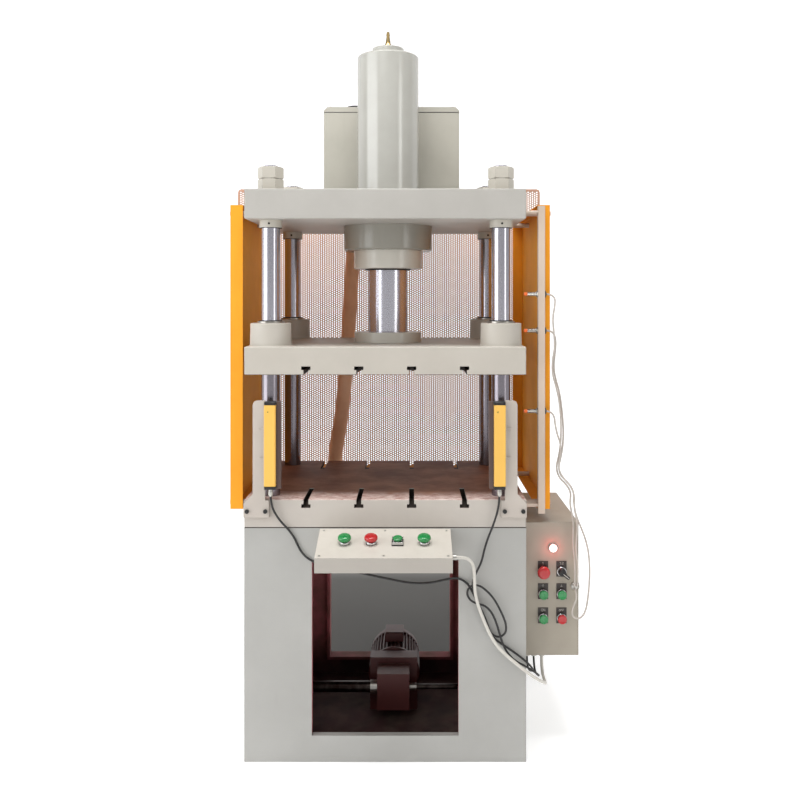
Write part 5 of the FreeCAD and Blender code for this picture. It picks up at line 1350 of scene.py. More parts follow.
@dataclass
class Labels:
    """Engraved marks on the label plates: arrows, ON, OFF and plain numbers.

    Attributes:
        stroke: Width of every stroke, in mm.
        size, small: Step of the figures' grid, and the step for three figures, in mm.
        face: Y of the marks, in mm.
    """

    stroke: float = 0.64
    size: float = 2.2
    small: float = 1.7
    face: float = -211.56

    def line(self, surface: Surface, start: np.ndarray, end: np.ndarray) -> None:
        """One stroke on the plates' face.

        Args:
            surface: Where it goes.
            start, end: X and Z of its ends, in mm.
        """
        step = end - start
        side = np.array([-step[1], step[0]]) / np.linalg.norm(step) * self.stroke / 2
        cap = step / np.linalg.norm(step) * self.stroke / 2
        flat = np.array([start - cap - side, end + cap - side, end + cap + side,
                         start - cap + side])
        points = np.insert(flat, 1, self.face, axis=1) * MM
        surface.add(points, [[0, 1, 2, 3]], 0)

    def word(self, surface: Surface, figures: Sequence[Stroke], x: float, z: float) -> None:
        """A row of figures.

        Args:
            surface: Where it goes.
            figures: What it says.
            x, z: Its middle and its foot, in mm.
        """
        size = self.small if len(figures) > 2 else self.size
        width = (3 * len(figures) - 1) * size
        for k, figure in enumerate(figures):
            foot = np.array([x - width / 2 + 3 * size * k, z])
            for start, end in figure.value:
                self.line(surface, foot + np.array(start) * size, foot + np.array(end) * size)

    def build(self) -> None:
        """Marks every plate."""
        surface = Surface()
        rows = [((Stroke.ONE,), 461, 514), ((Stroke.ONE, Stroke.TWO), 515, 514),
                ((Stroke.UP,), 461, 448), ((Stroke.DOWN,), 515, 448),
                ((Stroke.ZERO, Stroke.EN), 461, 377),
                ((Stroke.ZERO, Stroke.EF, Stroke.EF), 515, 377)]
        for figures, x, z in rows:
            self.word(surface, figures, x, z + 20)
        surface.build("label_marks", [Look.LETTER])


# ------------------------------------------------------------------
# Guards
# ------------------------------------------------------------------
@dataclass
class MeshGuard:
    """The perforated sheet behind the press, with staggered holes and a plain border.

    Attributes:
        low, high: Its corners in X and Z, in mm.
        front, sheet: Its front face's Y and its thickness, in mm.
        corner: Corner radius, in mm.
        pitch: Hole spacing both ways, in mm; every other column sits half a pitch higher.
        border: Least plain border, in mm.
        hole: Hole radius, in mm.
    """

    low: tuple[float, float] = (-564.0, 694.0)
    high: tuple[float, float] = (546.0, 1717.0)
    front: float = 440.0
    sheet: float = 1.5
    corner: float = 12.0
    pitch: float = 8.0
    border: float = 6.0
    hole: float = 3.05

    def build(self) -> None:
        """Makes the sheet; its holes are open.

        Each hole is six points round its centre, at multiples of 60 degrees, inside a square cell
        of one pitch; quads and two triangles join the points to the cell's corners.
        """
        low, high = np.array(self.low), np.array(self.high)
        columns, rows = ((high - low - 2 * self.border) // self.pitch).astype(int)
        field_size = np.array([columns, rows]) * self.pitch
        start = (low + high - field_size) / 2
        half = self.pitch / 2
        column, row = np.meshgrid(np.arange(columns), np.arange(rows), indexing="ij")
        odd = column % 2
        keep = ~((odd == 1) & (row == rows - 1))
        centre = np.stack([start[0] + half + self.pitch * column[keep],
                           start[1] + half + self.pitch * row[keep] + half * odd[keep]], axis=-1)
        turn = np.arange(6) * math.pi / 3
        rim = np.stack([np.cos(turn), np.sin(turn)], axis=-1) * self.hole
        corners = np.array([[half, half], [-half, half], [-half, -half], [half, -half]])
        cell = np.concatenate([rim, corners])
        flat = (centre[:, None, :] + cell[None, :, :]).reshape(-1, 2)
        web = np.array([[6, 7, 2, 1], [8, 9, 5, 4], [9, 6, 1, 0], [7, 8, 3, 2]])
        tips = np.array([[9, 0, 5], [8, 4, 3]])
        offset = np.arange(len(centre))[:, None, None] * len(cell)
        surface = Surface()
        surface.add(np.insert(flat, 1, self.front + self.sheet / 2, axis=1) * MM,
                    (web[None] + offset).reshape(-1, 4).tolist()
                    + (tips[None] + offset).reshape(-1, 3).tolist())
        self._border(surface, start, start + field_size, int(columns))
        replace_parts(surface.build("mesh_sheet", [Look.MESH], sharp=35), "rear_mesh_guard")

    def _border(self, surface: Surface, start: np.ndarray, end: np.ndarray,
                columns: int) -> None:
        """The plain border, the half cells of odd columns and the sheet's rim.

        Args:
            surface: Where they go.
            start, end: The corners of the holes' rectangle, in mm.
            columns: How many columns of holes.
        """
        left, bottom = self.low
        right, top = self.high
        r, s = self.corner, self.corner * (1 - math.sqrt(0.5))
        half = self.pitch / 2
        rim = [(left + r, bottom), (right - r, bottom), (right - s, bottom + s),
               (right, bottom + r), (right, top - r), (right - s, top - s), (right - r, top),
               (left + r, top), (left + s, top - s), (left, top - r), (left, bottom + r),
               (left + s, bottom + s)]
        inner = [(start[0], start[1]), (end[0], start[1]), (end[0], end[1]), (start[0], end[1])]
        strips = [rim[:4] + [inner[1], inner[0]] + rim[10:],
                  [rim[9], inner[3], inner[2]] + rim[4:9],
                  [rim[10], inner[0], inner[3], rim[9]],
                  [inner[1], rim[3], rim[4], inner[2]]]
        for k in range(1, columns, 2):
            x0, x1 = start[0] + self.pitch * k, start[0] + self.pitch * (k + 1)
            for z0, z1 in ((start[1], start[1] + half), (end[1] - half, end[1])):
                strips.append([(x0, z0), (x1, z0), (x1, z1), (x0, z1)])
        for strip in strips:
            flat = np.array(strip, dtype=float)
            near = np.insert(flat, 1, self.front, axis=1) * MM
            far = np.insert(flat, 1, self.front + self.sheet, axis=1) * MM
            surface.add(near, [list(range(len(strip)))])
            surface.add(far, [list(range(len(strip)))[::-1]])
        for edge in (np.array(inner), np.array(rim)):
            n = np.arange(len(edge))
            after = (n + 1) % len(edge)
            both = np.concatenate([np.insert(edge, 1, self.front, axis=1),
                                   np.insert(edge, 1, self.front + self.sheet, axis=1)]) * MM
            surface.add(both, np.stack([n + len(edge), after + len(edge), after, n], axis=-1))


# ------------------------------------------------------------------
# Light curtains
# ------------------------------------------------------------------
@dataclass
class LightCurtain:
    """One half of the light curtain: a yellow housing with black ends and a dark lens.

    Attributes:
        node: The CAD piece that it stands for.
        side: -1 for the left one, 1 for the right one.
        middle, width: How far its middle stands from X = 0, and its width, in mm.
        front, back: Y of its front and back faces, in mm.
        low, high: Z of its foot and top, in mm.
        end: Height of each black end, in mm.
    """

    node: str
    side: int
    middle: float = 322.0
    width: float = 33.0
    front: float = -335.0
    back: float = -303.0
    low: float = 779.0
    high: float = 1025.0
    end: float = 9.0

    def build(self) -> None:
        """Makes the housing, its lens, its ends and its connector."""
        surface = Surface()
        inner, outer = self.middle - self.width / 2, self.middle + self.width / 2
        x0, x1 = sorted((inner * self.side, outer * self.side))
        inward = x1 if self.side < 0 else x0
        body0, body1 = (x0, x1 - 1.2) if self.side < 0 else (x0 + 1.2, x1)
        foot, head = self.low + self.end, self.high - self.end
        block(surface, (body0, self.front, foot), (body1, self.back, head), 0, 1.6)
        for z0, z1 in ((self.low, foot), (head, self.high)):
            block(surface, (x0 + 1, self.front + 1, z0), (x1 - 1, self.back - 1, z1), 1, 1.2)
        lens = sorted((inward, inward + 1.3 * self.side))
        block(surface, (lens[0], self.front + 6, self.low + 14),
              (lens[1], self.back - 6, self.high - 14), 2, 0.4)
        for edge in (self.front + 3.2, self.back - 5.2):
            block(surface, (lens[0], edge, foot), (lens[1], edge + 2, head), 0, 0.3)
        block(surface, (x0 + 9, self.front, self.high - 30),
              (x0 + 13, self.front + 1.0, self.high - 26), 3, 0.3)
        place = basis((self.middle * self.side * MM, (self.back - 16) * MM,
                       (self.low - 21) * MM), (0, 0, 1))
        lathe(surface, rounded([(3.2, 0), (4.6, 0), (5.2, 3.0), (7.0, 3.6), (7.0, 14.5),
                                (6.2, 15.5), (6.2, 21)], 0.5, 2), place, 4, 40,
              lambda angle, height: 1 + 0.035 * (np.sign(np.sin(angle * 10)) - 1)
              * ((height > 0.0042) & (height < 0.0138)))
        thing = surface.build(f"{self.node}_housing", [Look.CURTAIN, Look.BLACK, Look.PANEL,
                                                       Look.GREEN, Look.ZINC], sharp=35)
        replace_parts(thing, self.node)


# ------------------------------------------------------------------
# Pump motor
# ------------------------------------------------------------------
@dataclass
class PumpMotor:
    """The finned motor that drives the pump; the rotor turns inside it.

    Attributes:
        axis: X and Z of its axis, in mm.
        front, length: Its front face's Y and its length, in mm.
        radius, wall: Of its shell, in mm.
        bore: Radius of the shaft's hole, in mm.
        fins: How many cooling fins it has.
    """

    axis: tuple[float, float] = (18.0, 100.0)
    front: float = 55.0
    length: float = 190.0
    radius: float = 82.5
    wall: float = 12.0
    bore: float = 12.1
    fins: int = 40

    def build(self) -> None:
        """Makes the shell, its feet and its terminal box."""
        x, z = self.axis
        rim, wall, bore, end = self.radius, self.wall, self.bore, self.length
        place = basis((x * MM, self.front * MM, z * MM), (0, 1, 0))
        surface = Surface()
        lathe(surface, [(bore, wall), (bore, 0), (34, 0), (40, 3), (70, 4), (rim - 2, 5), (rim, 7),
                        (rim, 16), (rim - 2, 18)], place, 0, 96)
        lathe(surface, [(rim, 18), (rim, end - 34)], place, 0, self.fins * 6,
              lambda angle, height: np.where(np.sin(angle * self.fins) > 0.1, 1.0, 0.90))
        lathe(surface, [(rim - 2, end - 34), (rim, end - 32), (rim, end - 6), (rim - 5, end),
                        (60, end), (58, end - 2), (52, end - 2), (50, end), (42, end),
                        (40, end - 2), (34, end - 2), (32, end), (bore, end), (bore, end - wall)],
              place, 0, 96)
        inner = rim - wall
        # The shell's inside, drawn in painted shade.
        lathe(surface, [(bore, end - wall), (inner, end - wall), (inner, wall), (bore, wall)],
              place, 1, 64)
        top = z + rim
        mid = self.front + end / 2
        block(surface, (x - 30, mid - 35, top - 5), (x + 30, mid + 35, top + 26), 0, 2.0)
        block(surface, (x - 30, mid - 35, top + 26.6), (x + 30, mid + 35, top + 29), 0, 1.0)
        # A thin block of painted shade in the gap under the terminal box's lid.
        block(surface, (x - 29, mid - 34, top + 25.8), (x + 29, mid + 34, top + 26.8), 1, 0.0)
        for dx in (-24, 24):
            for dy in (-29, 29):
                screw(surface, basis(((x + dx) * MM, (mid + dy) * MM, (top + 28.9) * MM),
                                     (0, 0, 1)), 7, 0.0001, 2, None)
        for y0 in (self.front + 25, self.front + end - 50):
            block(surface, (x - 66, y0, 10), (x + 66, y0 + 25, 20), 0, 1.5)
            for dx in (-40, 24):
                block(surface, (x + dx, y0 + 2, 19), (x + dx + 16, y0 + 23, 42), 0, 1.5)
            for dx in (-56, 56):
                screw(surface, basis(((x + dx) * MM, (y0 + 12.5) * MM, 0.020), (0, 0, 1)), 13, 6,
                      2, 1)
        thing = surface.build("finned_motor", [Look.MOTOR, Look.RECESS_SHADE, Look.SCREW], sharp=35)
        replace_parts(thing, "pump_motor")


# ------------------------------------------------------------------
# Small fittings
# ------------------------------------------------------------------
COLUMNS = [(x, y) for x in (-335, 335) for y in (-235, 235)]  # column centres, in mm
CONSOLE_MIDDLE = Vector((0.0, -0.375, 0.642))  # middle of the console's sloping plate


@dataclass
class Fixings:
    """Screws, seals, bands and painted-shade recesses that the construction model leaves out.

    Attributes:
        tank_low, tank_high: The oil tank's corners in X and Y, in mm.
        tank_top: Where its lid rests, in mm.
        lid_top: The lid's upper face, in metres.
        collar_foot: Under side of the collars below the crown, in metres.
        bush_top: Upper side of the slide's guide bushes, in metres.
        gland_foot: Under side of the rod's gland, in metres.
    """

    tank_low: tuple[float, float] = (-217.0, 130.0)
    tank_high: tuple[float, float] = (233.0, 360.0)
    tank_top: float = 1933.0
    lid_top: float = 1.952
    collar_foot: float = 1.520
    bush_top: float = 1.249
    gland_foot: float = 1.408

    def build(self) -> None:
        """Makes every group of small fittings."""
        self.guard_socket_shade()
        self.tank_screws()
        self.hose_bands()
        self.seals()
        self.gauge()
        self.lock_recess()
        self.console_screws()
        self.collar_screw_shade()
        self.valve_details()
        self.start_frame()
        self.tank_gasket()
        self.curtain_clamps()

    def start_frame(self) -> None:
        """The square dark housing round the console's small start button."""
        surface = Surface()
        place = basis(tuple(CONSOLE_MIDDLE + Vector((0.0365, 0.0, 0.0))), CONSOLE_OUT)
        inner = 14.3
        for look, outer, foot, top in ((0, 16.2, 0.01, 3.0), (1, 15.3, 3.0, 11.4)):
            for low, high in (((-outer, -outer), (-inner, outer)),
                              ((inner, -outer), (outer, outer)),
                              ((-inner, inner), (inner, outer)),
                              ((-inner, -outer), (inner, -inner))):
                block(surface, (*low, foot), (*high, top), look, 0.3, place)
        surface.build("start_frame", [Look.BLACK, Look.COLLAR])

    def tank_gasket(self) -> None:
        """The dark gasket between the tank and its lid."""
        surface = Surface()
        (x0, y0), (x1, y1) = self.tank_low, self.tank_high
        z0, z1, lip = self.tank_top, self.tank_top + 2.2, 0.4
        for y in (y0, y1):
            block(surface, (x0 - lip, y - lip, z0), (x1 + lip, y + lip, z1), 0)
        for x in (x0, x1):
            block(surface, (x - lip, y0, z0), (x + lip, y1, z1), 0)
        surface.build("tank_gasket", [Look.SEAL])

    def curtain_clamps(self) -> None:
        """The clamps that hold the light curtains to their brackets."""
        surface = Surface()
        for side in (-1, 1):
            for z in (866, 948):
                x0, x1 = sorted((338.6 * side, 355.0 * side))
                block(surface, (x0, -321.0, z - 1.2), (x1, -312.05, z + 1.2), 0, 0.5)
        surface.build("curtain_clamps", [Look.BRACKET])

    def guard_socket_shade(self) -> None:
        """Hexagon recesses in the guards' screw heads, drawn as flat discs of painted shade."""
        surface = Surface()
        for side, face in ((-1, -466.0), (1, 489.0)):
            for y in (-170, 250):
                for z in (709, 1568):
                    place = basis((face * MM - side * 0.0001, y * MM, z * MM), (side, 0, 0))
                    lathe(surface, [(3.5, 0.15), (0.0, 0.15)], place, 0, 6)
        surface.build("guard_socket_shade", [Look.RECESS_SHADE])

    def tank_screws(self) -> None:
        """Socket screws round the tank's lid, and a level glass on its left side."""
        surface = Surface()
        left, right = self.tank_low[0] + 21, self.tank_high[0] - 21
        places = [(float(x), y) for x in np.linspace(left, right, 5) for y in (141, 349)]
        places += [(x, y) for y in (210, 280) for x in (left, right)]
        for x, y in places:
            screw(surface, basis((x * MM, y * MM, self.lid_top), (0, 0, 1)), 9, 2.6, 0, 1)
        surface.build("lid_screws", [Look.SCREW, Look.RECESS_SHADE])
        glass = Surface()
        block(glass, (-221.5, 300, 1690), (-217, 318, 1850), 0, 1.2)
        block(glass, (-222.3, 305, 1704), (-221.2, 313, 1836), 1, 0.4)
        for z in (1697, 1843):
            screw(glass, basis((-0.2214, 0.309, z * MM), (-1, 0, 0)), 9, 3, 2, 3)
        glass.build("level_glass", [Look.ALLOY, Look.PANEL, Look.ZINC, Look.RECESS_SHADE])

    def hose_bands(self) -> None:
        """Worm-drive bands at both ends of the suction hose."""
        surface = Surface()
        for at, along in (((-0.131, 0.332, 1.580), (0, 0, -1)),
                          ((-0.199, 0.332, 0.702), (0, 0, 1))):
            place = basis(at, along, (0, 1, 0))
            lathe(surface, [(24.9, -6), (26.0, -6), (26.0, 6), (24.9, 6)], place, 0, 48)
            block(surface, (-8, 24.5, -7), (8, 31, 7), 0, 1.2, place)
            screw(surface, place @ Matrix.Translation((0.008, 0.0278, 0)) @
                  Matrix.Rotation(math.pi / 2, 4, "Y"), 8, 4, 0, 1)
        surface.build("hose_bands", [Look.ZINC, Look.RECESS_SHADE])

    def seals(self) -> None:
        """The rod's wiper under the gland, and the wipers on the slide's bushes."""
        fixed = Surface()
        lathe(fixed, rounded([(63.0, 0), (74.0, 0), (71.5, -3.5), (64.0, -4.5), (63.0, -2)],
                             0.6, 2), Matrix.Translation((0, 0, self.gland_foot)), 0, 96)
        riding = Surface()
        for x, y in COLUMNS:
            lathe(fixed, [(27.6, 0), (32.6, 0), (32.6, -1.2), (27.6, -1.2)],
                  Matrix.Translation((x * MM, y * MM, self.collar_foot)), 0, 64)
            lathe(riding, [(27.8, 0.0), (34.0, 0.0), (33.4, 2.4), (29.0, 3.2), (27.8, 2.4)],
                  Matrix.Translation((x * MM, y * MM, self.bush_top)), 0, 64)
        fixed.build("rod_wiper", [Look.SEAL], sharp=45)
        riding.build("bush_wipers", [Look.SEAL], SLIDE, 45)

    def gauge(self) -> None:
        """The pressure gauge's rim, dial and needle."""
        surface = Surface()
        place = basis((0.244, 0.335, 0.515), (-1, 0, 0))
        lathe(surface, [(31.4, -6), (31.4, 0), (30.0, 0.3), (28.4, 0.0), (28.2, -2.0)], place, 0,
              64)
        lathe(surface, [(28.6, -0.9), (0.0, -0.9)], place, 1, 64)
        for k in range(13):
            turn = place @ Matrix.Rotation(math.radians(-135 + 22.5 * k), 4, "Z")
            block(surface, (-0.5, 20.5, -0.95), (0.5, 25.5, -0.7), 2, 0.0, turn)
        turn = place @ Matrix.Rotation(math.radians(118), 4, "Z")
        block(surface, (-0.7, -6, -0.8), (0.7, 22, -0.4), 3, 0.0, turn)
        lathe(surface, [(3.2, -0.8), (3.2, 0.0), (0.0, 0.2)], place, 2, 24)
        surface.build("gauge_face", [Look.ZINC, Look.DIAL, Look.BLACK, Look.RED])

    def lock_recess(self) -> None:
        """The double-bitted recess in the door's lock: a disc and a bit slot of painted shade in a
        dark ring.
        """
        surface = Surface()
        place = basis((0.57165, -0.184, 0.462), (1, 0, 0))
        lathe(surface, [(8.0, 0.05), (8.4, 0.05), (8.4, 0.0)], place, 1, 32)
        lathe(surface, [(4.0, 0.12), (0.0, 0.12)], place, 0, 32)
        block(surface, (-5.6, -1.2, 0.05), (5.6, 1.2, 0.14), 0, 0.0, place)
        surface.build("lock_recess", [Look.RECESS_SHADE, Look.SCREW], "lock")

    def console_screws(self) -> None:
        """Countersunk screws in the console's sloping plate and its ends."""
        surface = Surface()
        along = Vector((0.0, math.cos(SLOPE), math.sin(SLOPE)))
        for x in (-173, 0, 173):
            for reach in (-0.066, 0.066):
                at = CONSOLE_MIDDLE + along * reach + Vector((x * MM, 0, 0))
                place = basis(tuple(at), CONSOLE_OUT)
                lathe(surface, [(3.6, 0.02), (3.4, 0.5), (2.2, 0.75), (0.0, 0.8)], place, 0, 24)
                # The cross recess: two thin blocks of painted shade.
                for turn in (0, math.pi / 2):
                    block(surface, (-2.0, -0.35, 0.7), (2.0, 0.35, 0.83), 1, 0.0,
                          place @ Matrix.Rotation(turn, 4, "Z"))
        surface.build("console_screws", [Look.ZINC, Look.RECESS_SHADE])

    def collar_screw_shade(self) -> None:
        """The set screws' recesses in the collars under the crown, drawn as flat discs of painted
        shade.
        """
        surface = Surface()
        for x, y in COLUMNS:
            place = basis((x * MM, (y - 32.9) * MM, self.collar_foot + 0.011), FRONT)
            lathe(surface, [(2.9, 0.0), (0.0, 0.0)], place, 0, 20)
        surface.build("collar_screw_shade", [Look.RECESS_SHADE])

    def valve_details(self) -> None:
        """Caps, plugs and screws on the two valves and on the block."""
        surface = Surface()
        for x in (301, 359):
            block(surface, (x - 21, 413.9, 500), (x + 21, 418, 556), 0, 1.5)
            block(surface, (x - 13, 417.9, 512), (x + 13, 432, 544), 0, 2.0)
            lathe(surface, [(4.5, 0), (4.5, 9), (3.4, 10), (0, 10)],
                  basis((x * MM, 0.4255, 0.512), (0, 0, -1)), 0, 24)
            for dx in (-17, 17):
                for z in (460, 490, 566):
                    screw(surface, basis(((x + dx) * MM, 0.414, z * MM), (0, 1, 0)), 7, 4, 1, 2)
        for z in (462, 568):
            for x in (276, 384):
                screw(surface, basis((x * MM, 0.300, z * MM), (0, -1, 0)), 8, 0.8, 1, 2)
        surface.build("valve_details", [Look.BLACK, Look.SCREW, Look.RECESS_SHADE])


@dataclass
class SwitchGear:
    """The fronts, terminals and wires of the gear inside the cabinet.

    Attributes:
        face: X of the gear's front, in mm.
        rows: Foot of each row, in mm.
        first, pitch, width: Y of a row's first module, their spacing and their width, in mm.
        modules: How many stand in a row.
        ducts: Foot of each slotted duct, in mm.
    """

    face: float = 472.0
    rows: Sequence[float] = (317.0, 427.0, 537.0)
    first: float = -128.0
    pitch: float = 43.0
    width: float = 40.0
    modules: int = 6
    ducts: Sequence[float] = (392.0, 502.0)

    def build(self) -> None:
        """Makes the gear's fronts, the ducts and the wires."""
        surface = Surface()
        for row in self.rows:
            for k in range(self.modules):
                red = (k + int(row)) % 3 == 0
                self.module(surface, self.first + self.pitch * k, row, 4 if red else 1)
        for z in self.ducts:
            self.duct(surface, z)
        surface.build("switch_gear", [Look.BLACK, Look.CONDUIT, Look.CONDUIT, Look.BRASS,
                                      Look.RED, Look.RECESS_SHADE])
        for k, look in enumerate((Look.BLACK, Look.RED, Look.GREY_CABLE)):
            self.wires(k, look)

    def module(self, surface: Surface, y0: float, row: float, button: int) -> None:
        """One module: its raised front, its button and three terminals above and below.

        Args:
            surface: Where it goes.
            y0, row: Y of its edge and its row's foot, in mm.
            button: The button's material number.
        """
        block(surface, (self.face - 4, y0, row + 12), (self.face + 6, y0 + self.width, row + 48),
              0, 1.5)
        block(surface, (self.face + 5.5, y0 + 12, row + 22), (self.face + 8, y0 + 28, row + 38),
              button, 0.8)
        for z in (row + 5, row + 55):
            for dy in (8, 20, 32):
                lathe(surface, [(3.2, 0), (3.2, 1.4), (0.0, 1.4)],
                      basis((self.face * MM, (y0 + dy) * MM, z * MM), (1, 0, 0)), 3, 12)

    def duct(self, surface: Surface, z: float) -> None:
        """One wiring duct with its slots drawn as thin blocks of painted shade, its foot at z in
        mm.
        """
        block(surface, (405, -140, z), (440, 140, z + 20), 2, 1.0)
        # The slots: thin blocks of painted shade on the duct's face.
        for y in range(-136, 140, 12):
            block(surface, (439.9, y, z + 2), (440.4, y + 6, z + 18), 5, 0.0)

    def wires(self, number: int, look: Look) -> None:
        """The wires of one colour, from the terminals to the ducts.

        Args:
            number: Which terminal of each module they start from.
            look: Their finish.
        """
        curve = bpy.data.curves.new(f"wires_{number}", "CURVE")
        curve.dimensions = "3D"
        curve.bevel_depth = 0.0012
        curve.bevel_resolution = 2
        curve.resolution_u = 6
        for row in self.rows[1:]:
            for n in range(self.modules):
                y = self.first + 8 + self.pitch * n + 12 * number
                path = np.ones((5, 4))
                path[:, :3] = np.array([(self.face, y, row + 5), (478, y, row + 1),
                                        (470, y, row - 8), (450, y, row - 6),
                                        (436, y, row - 20)]) * MM
                spline = curve.splines.new("NURBS")
                spline.points.add(len(path) - 1)
                spline.points.foreach_set("co", path.ravel())
                spline.order_u = 3
                spline.use_endpoint_u = True
        curve.materials.append(look.made)
        thing = bpy.data.objects.new(f"wires_{number}", curve)
        bpy.context.scene.collection.objects.link(thing)
        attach(thing, ROOT)


# ------------------------------------------------------------------
# The construction pieces' finishes
# ------------------------------------------------------------------
NODE_LOOKS: dict[str, Look] = {
    "base_frame": Look.BASE, "worktable": Look.TABLE, "crown_plate": Look.GREY,
    "column_front_left": Look.COLUMN, "column_front_right": Look.COLUMN,
    "column_rear_left": Look.COLUMN, "column_rear_right": Look.COLUMN,
    "column_nuts": Look.NUT, "cylinder_barrel": Look.CYLINDER,
    "cylinder_ring_nut": Look.RING_SHADED, "rod_gland": Look.GLAND_LIT,
    "cylinder_end_cap": Look.CYLINDER, "bleed_fitting": Look.BRASS, "slide_plate": Look.SLIDE,
    "guide_bushes": Look.NUT_STEEL, "piston_rod": Look.CHROME, "rod_flange": Look.GLAND_LIT,
    "oil_tank": Look.TANK, "tank_lid": Look.TANK, "filler_cap": Look.BLACK,
    "gear_pump": Look.MOTOR, "motor_rotor": Look.NUT_STEEL, "valve_block": Look.ALLOY,
    "guard_left": Look.GUARD, "guard_right": Look.GUARD, "guard_standoffs": Look.RAIL,
    "sensor_rail": Look.RAIL, "proximity_sensors": Look.SENSOR,
    "curtain_brackets": Look.BRACKET, "console_box": Look.CONSOLE, "label_plates": Look.LABEL,
    "cabinet_shell": Look.CABINET, "cabinet_door": Look.CABINET, "door_lock": Look.ZINC,
    "control_gear": Look.BLACK, "hydraulic_pipes": Look.PIPE,
    "line_fittings": Look.ZINC,
}


def dress(nodes: dict[str, bpy.types.Object]) -> None:
    """Puts each construction piece's finish into its slots.

    Args:
        nodes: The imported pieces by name.
    """
    for name, look in NODE_LOOKS.items():
        materials = nodes[name].data.materials
        for k in range(len(materials)):
            materials[k] = look.made
        if not len(materials):
            materials.append(look.made)
    log.info("%d construction pieces have their finish", len(NODE_LOOKS))


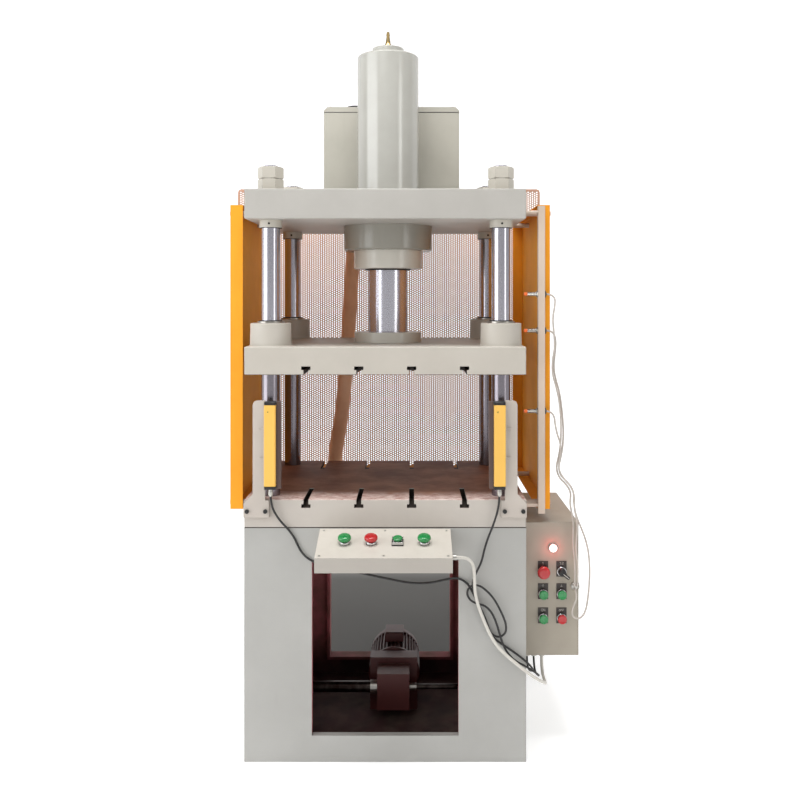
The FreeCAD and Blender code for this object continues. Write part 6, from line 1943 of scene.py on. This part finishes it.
# ------------------------------------------------------------------
# Studio
# ------------------------------------------------------------------
@dataclass
class Studio:
    """The floor, the lights and the camera.

    Attributes:
        eye: Where the camera stands, in metres.
        lens: Focal length in mm on a 36 mm sensor.
        shift: Sideways and upward lens shift.
        ambient: Strength of the light from all round; the backdrop itself is white.
        reach: How far the floor goes to the front and to each side, in metres.
        wall, bend, top: Y of the wall, radius of the bend at its foot and its height, in metres.
        shade_side: How far from X = 0 the shade behind the press starts and is full, in metres.
        shade_front, shade_back: The same in Y, from the front and from behind.
        spread: How much wider the shade gets with each metre of Y.
    """

    eye: Point = (0.076, -2.799, 1.3135)
    lens: float = 39.645
    shift: tuple[float, float] = (-0.015, -0.12625)
    ambient: float = 0.42
    reach: float = 24.0
    wall: float = 5.6
    bend: float = 2.2
    top: float = 9.0
    shade_side: tuple[float, float] = (0.58, 0.19)
    shade_front: tuple[float, float] = (0.10, 0.45)
    shade_back: tuple[float, float] = (2.2, 1.3)
    spread: float = 0.09

    def camera(self) -> None:
        """The camera at the photograph's place."""
        data = bpy.data.cameras.new("view")
        data.sensor_width = 36.0
        data.lens = self.lens
        data.shift_x, data.shift_y = self.shift
        data.dof.use_dof = False
        data.clip_end = 60.0
        thing = bpy.data.objects.new("view", data)
        thing.location = self.eye
        thing.rotation_euler = (math.pi / 2, 0.0, 0.0)
        bpy.context.scene.collection.objects.link(thing)
        bpy.context.scene.camera = thing

    def floor(self) -> None:
        """A pale floor that curves up into a wall far behind, with a shade behind the press.

        Its side view is a straight line, a quarter circle and an upright line, carried along X.
        """
        turn = np.linspace(0, math.pi / 2, 17)
        arc = np.stack([self.wall - self.bend + self.bend * np.sin(turn),
                        self.bend - self.bend * np.cos(turn)], -1)
        line = np.concatenate([[[-self.reach, 0.0]], arc, [[self.wall, self.top]]])
        left = np.insert(line, 0, -self.reach, axis=1)
        right = np.insert(line, 0, self.reach, axis=1)
        n = len(line)
        k = np.arange(n - 1)
        mesh = bpy.data.meshes.new("floor")
        mesh.from_pydata(np.concatenate([left, right]).tolist(), [],
                         np.stack([k, k + n, k + n + 1, k + 1], -1).tolist())
        mesh.shade_smooth()
        material = bpy.data.materials.new("floor")
        material.use_nodes = True
        shader = material.node_tree.nodes["Principled BSDF"]
        graph = Graph(material.node_tree)
        x, y, _ = graph.axes()
        width = graph.math("SUBTRACT", graph.math("ABSOLUTE", x),
                           graph.math("MULTIPLY", y, self.spread))
        shade = graph.math("MULTIPLY", graph.step(width, *self.shade_side),
                           graph.math("MULTIPLY", graph.step(y, *self.shade_front),
                                      graph.step(y, *self.shade_back)))
        graph.feed(shader.inputs["Base Color"],
                   graph.blend(shade, rgb(236, 236, 236), rgb(78, 77, 74)))
        shader.inputs["Roughness"].default_value = 0.7
        shader.inputs["Emission Color"].default_value = (1.0, 1.0, 1.0, 1.0)
        graph.feed(shader.inputs["Emission Strength"], graph.math(
            "MULTIPLY", graph.math("SUBTRACT", 1.0, shade), 0.46))
        mesh.materials.append(material)
        thing = bpy.data.objects.new("floor", mesh)
        bpy.context.scene.collection.objects.link(thing)

    def light(self, name: str, at: Point, aim: Point, size: tuple[float, float], power: float,
              colour: tuple[float, float, float] = (1.0, 1.0, 1.0)) -> None:
        """One soft box.

        Args:
            name: The light's name.
            at: Where it stands, in metres.
            aim: What it points at.
            size: Width and height, in metres.
            power: In watts.
            colour: Linear colour.
        """
        data = bpy.data.lights.new(name, "AREA")
        data.shape = "RECTANGLE"
        data.size, data.size_y = size
        data.energy = power
        data.color = colour
        thing = bpy.data.objects.new(name, data)
        thing.location = at
        thing.rotation_euler = (Vector(aim) - Vector(at)).to_track_quat("-Z", "Y").to_euler()
        bpy.context.scene.collection.objects.link(thing)

    def build(self) -> None:
        """Sets up everything round the press."""
        self.camera()
        self.floor()
        self.light("key", (-1.2, -3.6, 3.9), (0, 0, 1.0), (1.8, 1.6), 20.0, (1.0, 0.99, 0.975))
        self.light("window", (-2.9, -1.7, 1.7), (0, 0, 1.4), (2.6, 2.6), 60.0,
                   (0.97, 0.985, 1.0))
        self.light("fill", (3.0, -2.7, 1.8), (0, 0, 1.0), (0.8, 2.4), 18.0, (1.0, 0.99, 0.97))
        self.light("top", (0.0, -0.75, 4.2), (0, -0.1, 1.0), (2.2, 1.2), 104.0)
        data = bpy.data.lights.new("lamp_glow", "POINT")
        data.energy, data.color, data.shadow_soft_size = 0.05, (1.0, 0.04, 0.03), 0.006
        glow = bpy.data.objects.new("lamp_glow", data)
        glow.location = (0.490, -0.238, 0.583)
        bpy.context.scene.collection.objects.link(glow)
        world = bpy.data.worlds.new("studio")
        bpy.context.scene.world = world
        world.use_nodes = True
        background = world.node_tree.nodes["Background"]
        background.inputs["Color"].default_value = (1.0, 1.0, 1.0, 1.0)
        graph = Graph(world.node_tree)
        seen = graph.add("LightPath").outputs["Is Camera Ray"]
        graph.feed(background.inputs["Strength"], graph.math(
            "ADD", self.ambient, graph.math("MULTIPLY", seen, 1.0 - self.ambient)))
        bpy.context.scene.view_settings.view_transform = "Standard"


def main() -> None:
    """Builds the whole picture."""
    Studio().build()
    for cable in CABLES:
        cable.build()
    dress(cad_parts)
    PanelFittings(BUTTONS).build()
    Labels().build()
    MeshGuard().build()
    LightCurtain("light_curtain_left", -1).build()
    LightCurtain("light_curtain_right", 1).build()
    PumpMotor().build()
    Fixings().build()
    SwitchGear().build()


if __name__ == "__main__":
    main()
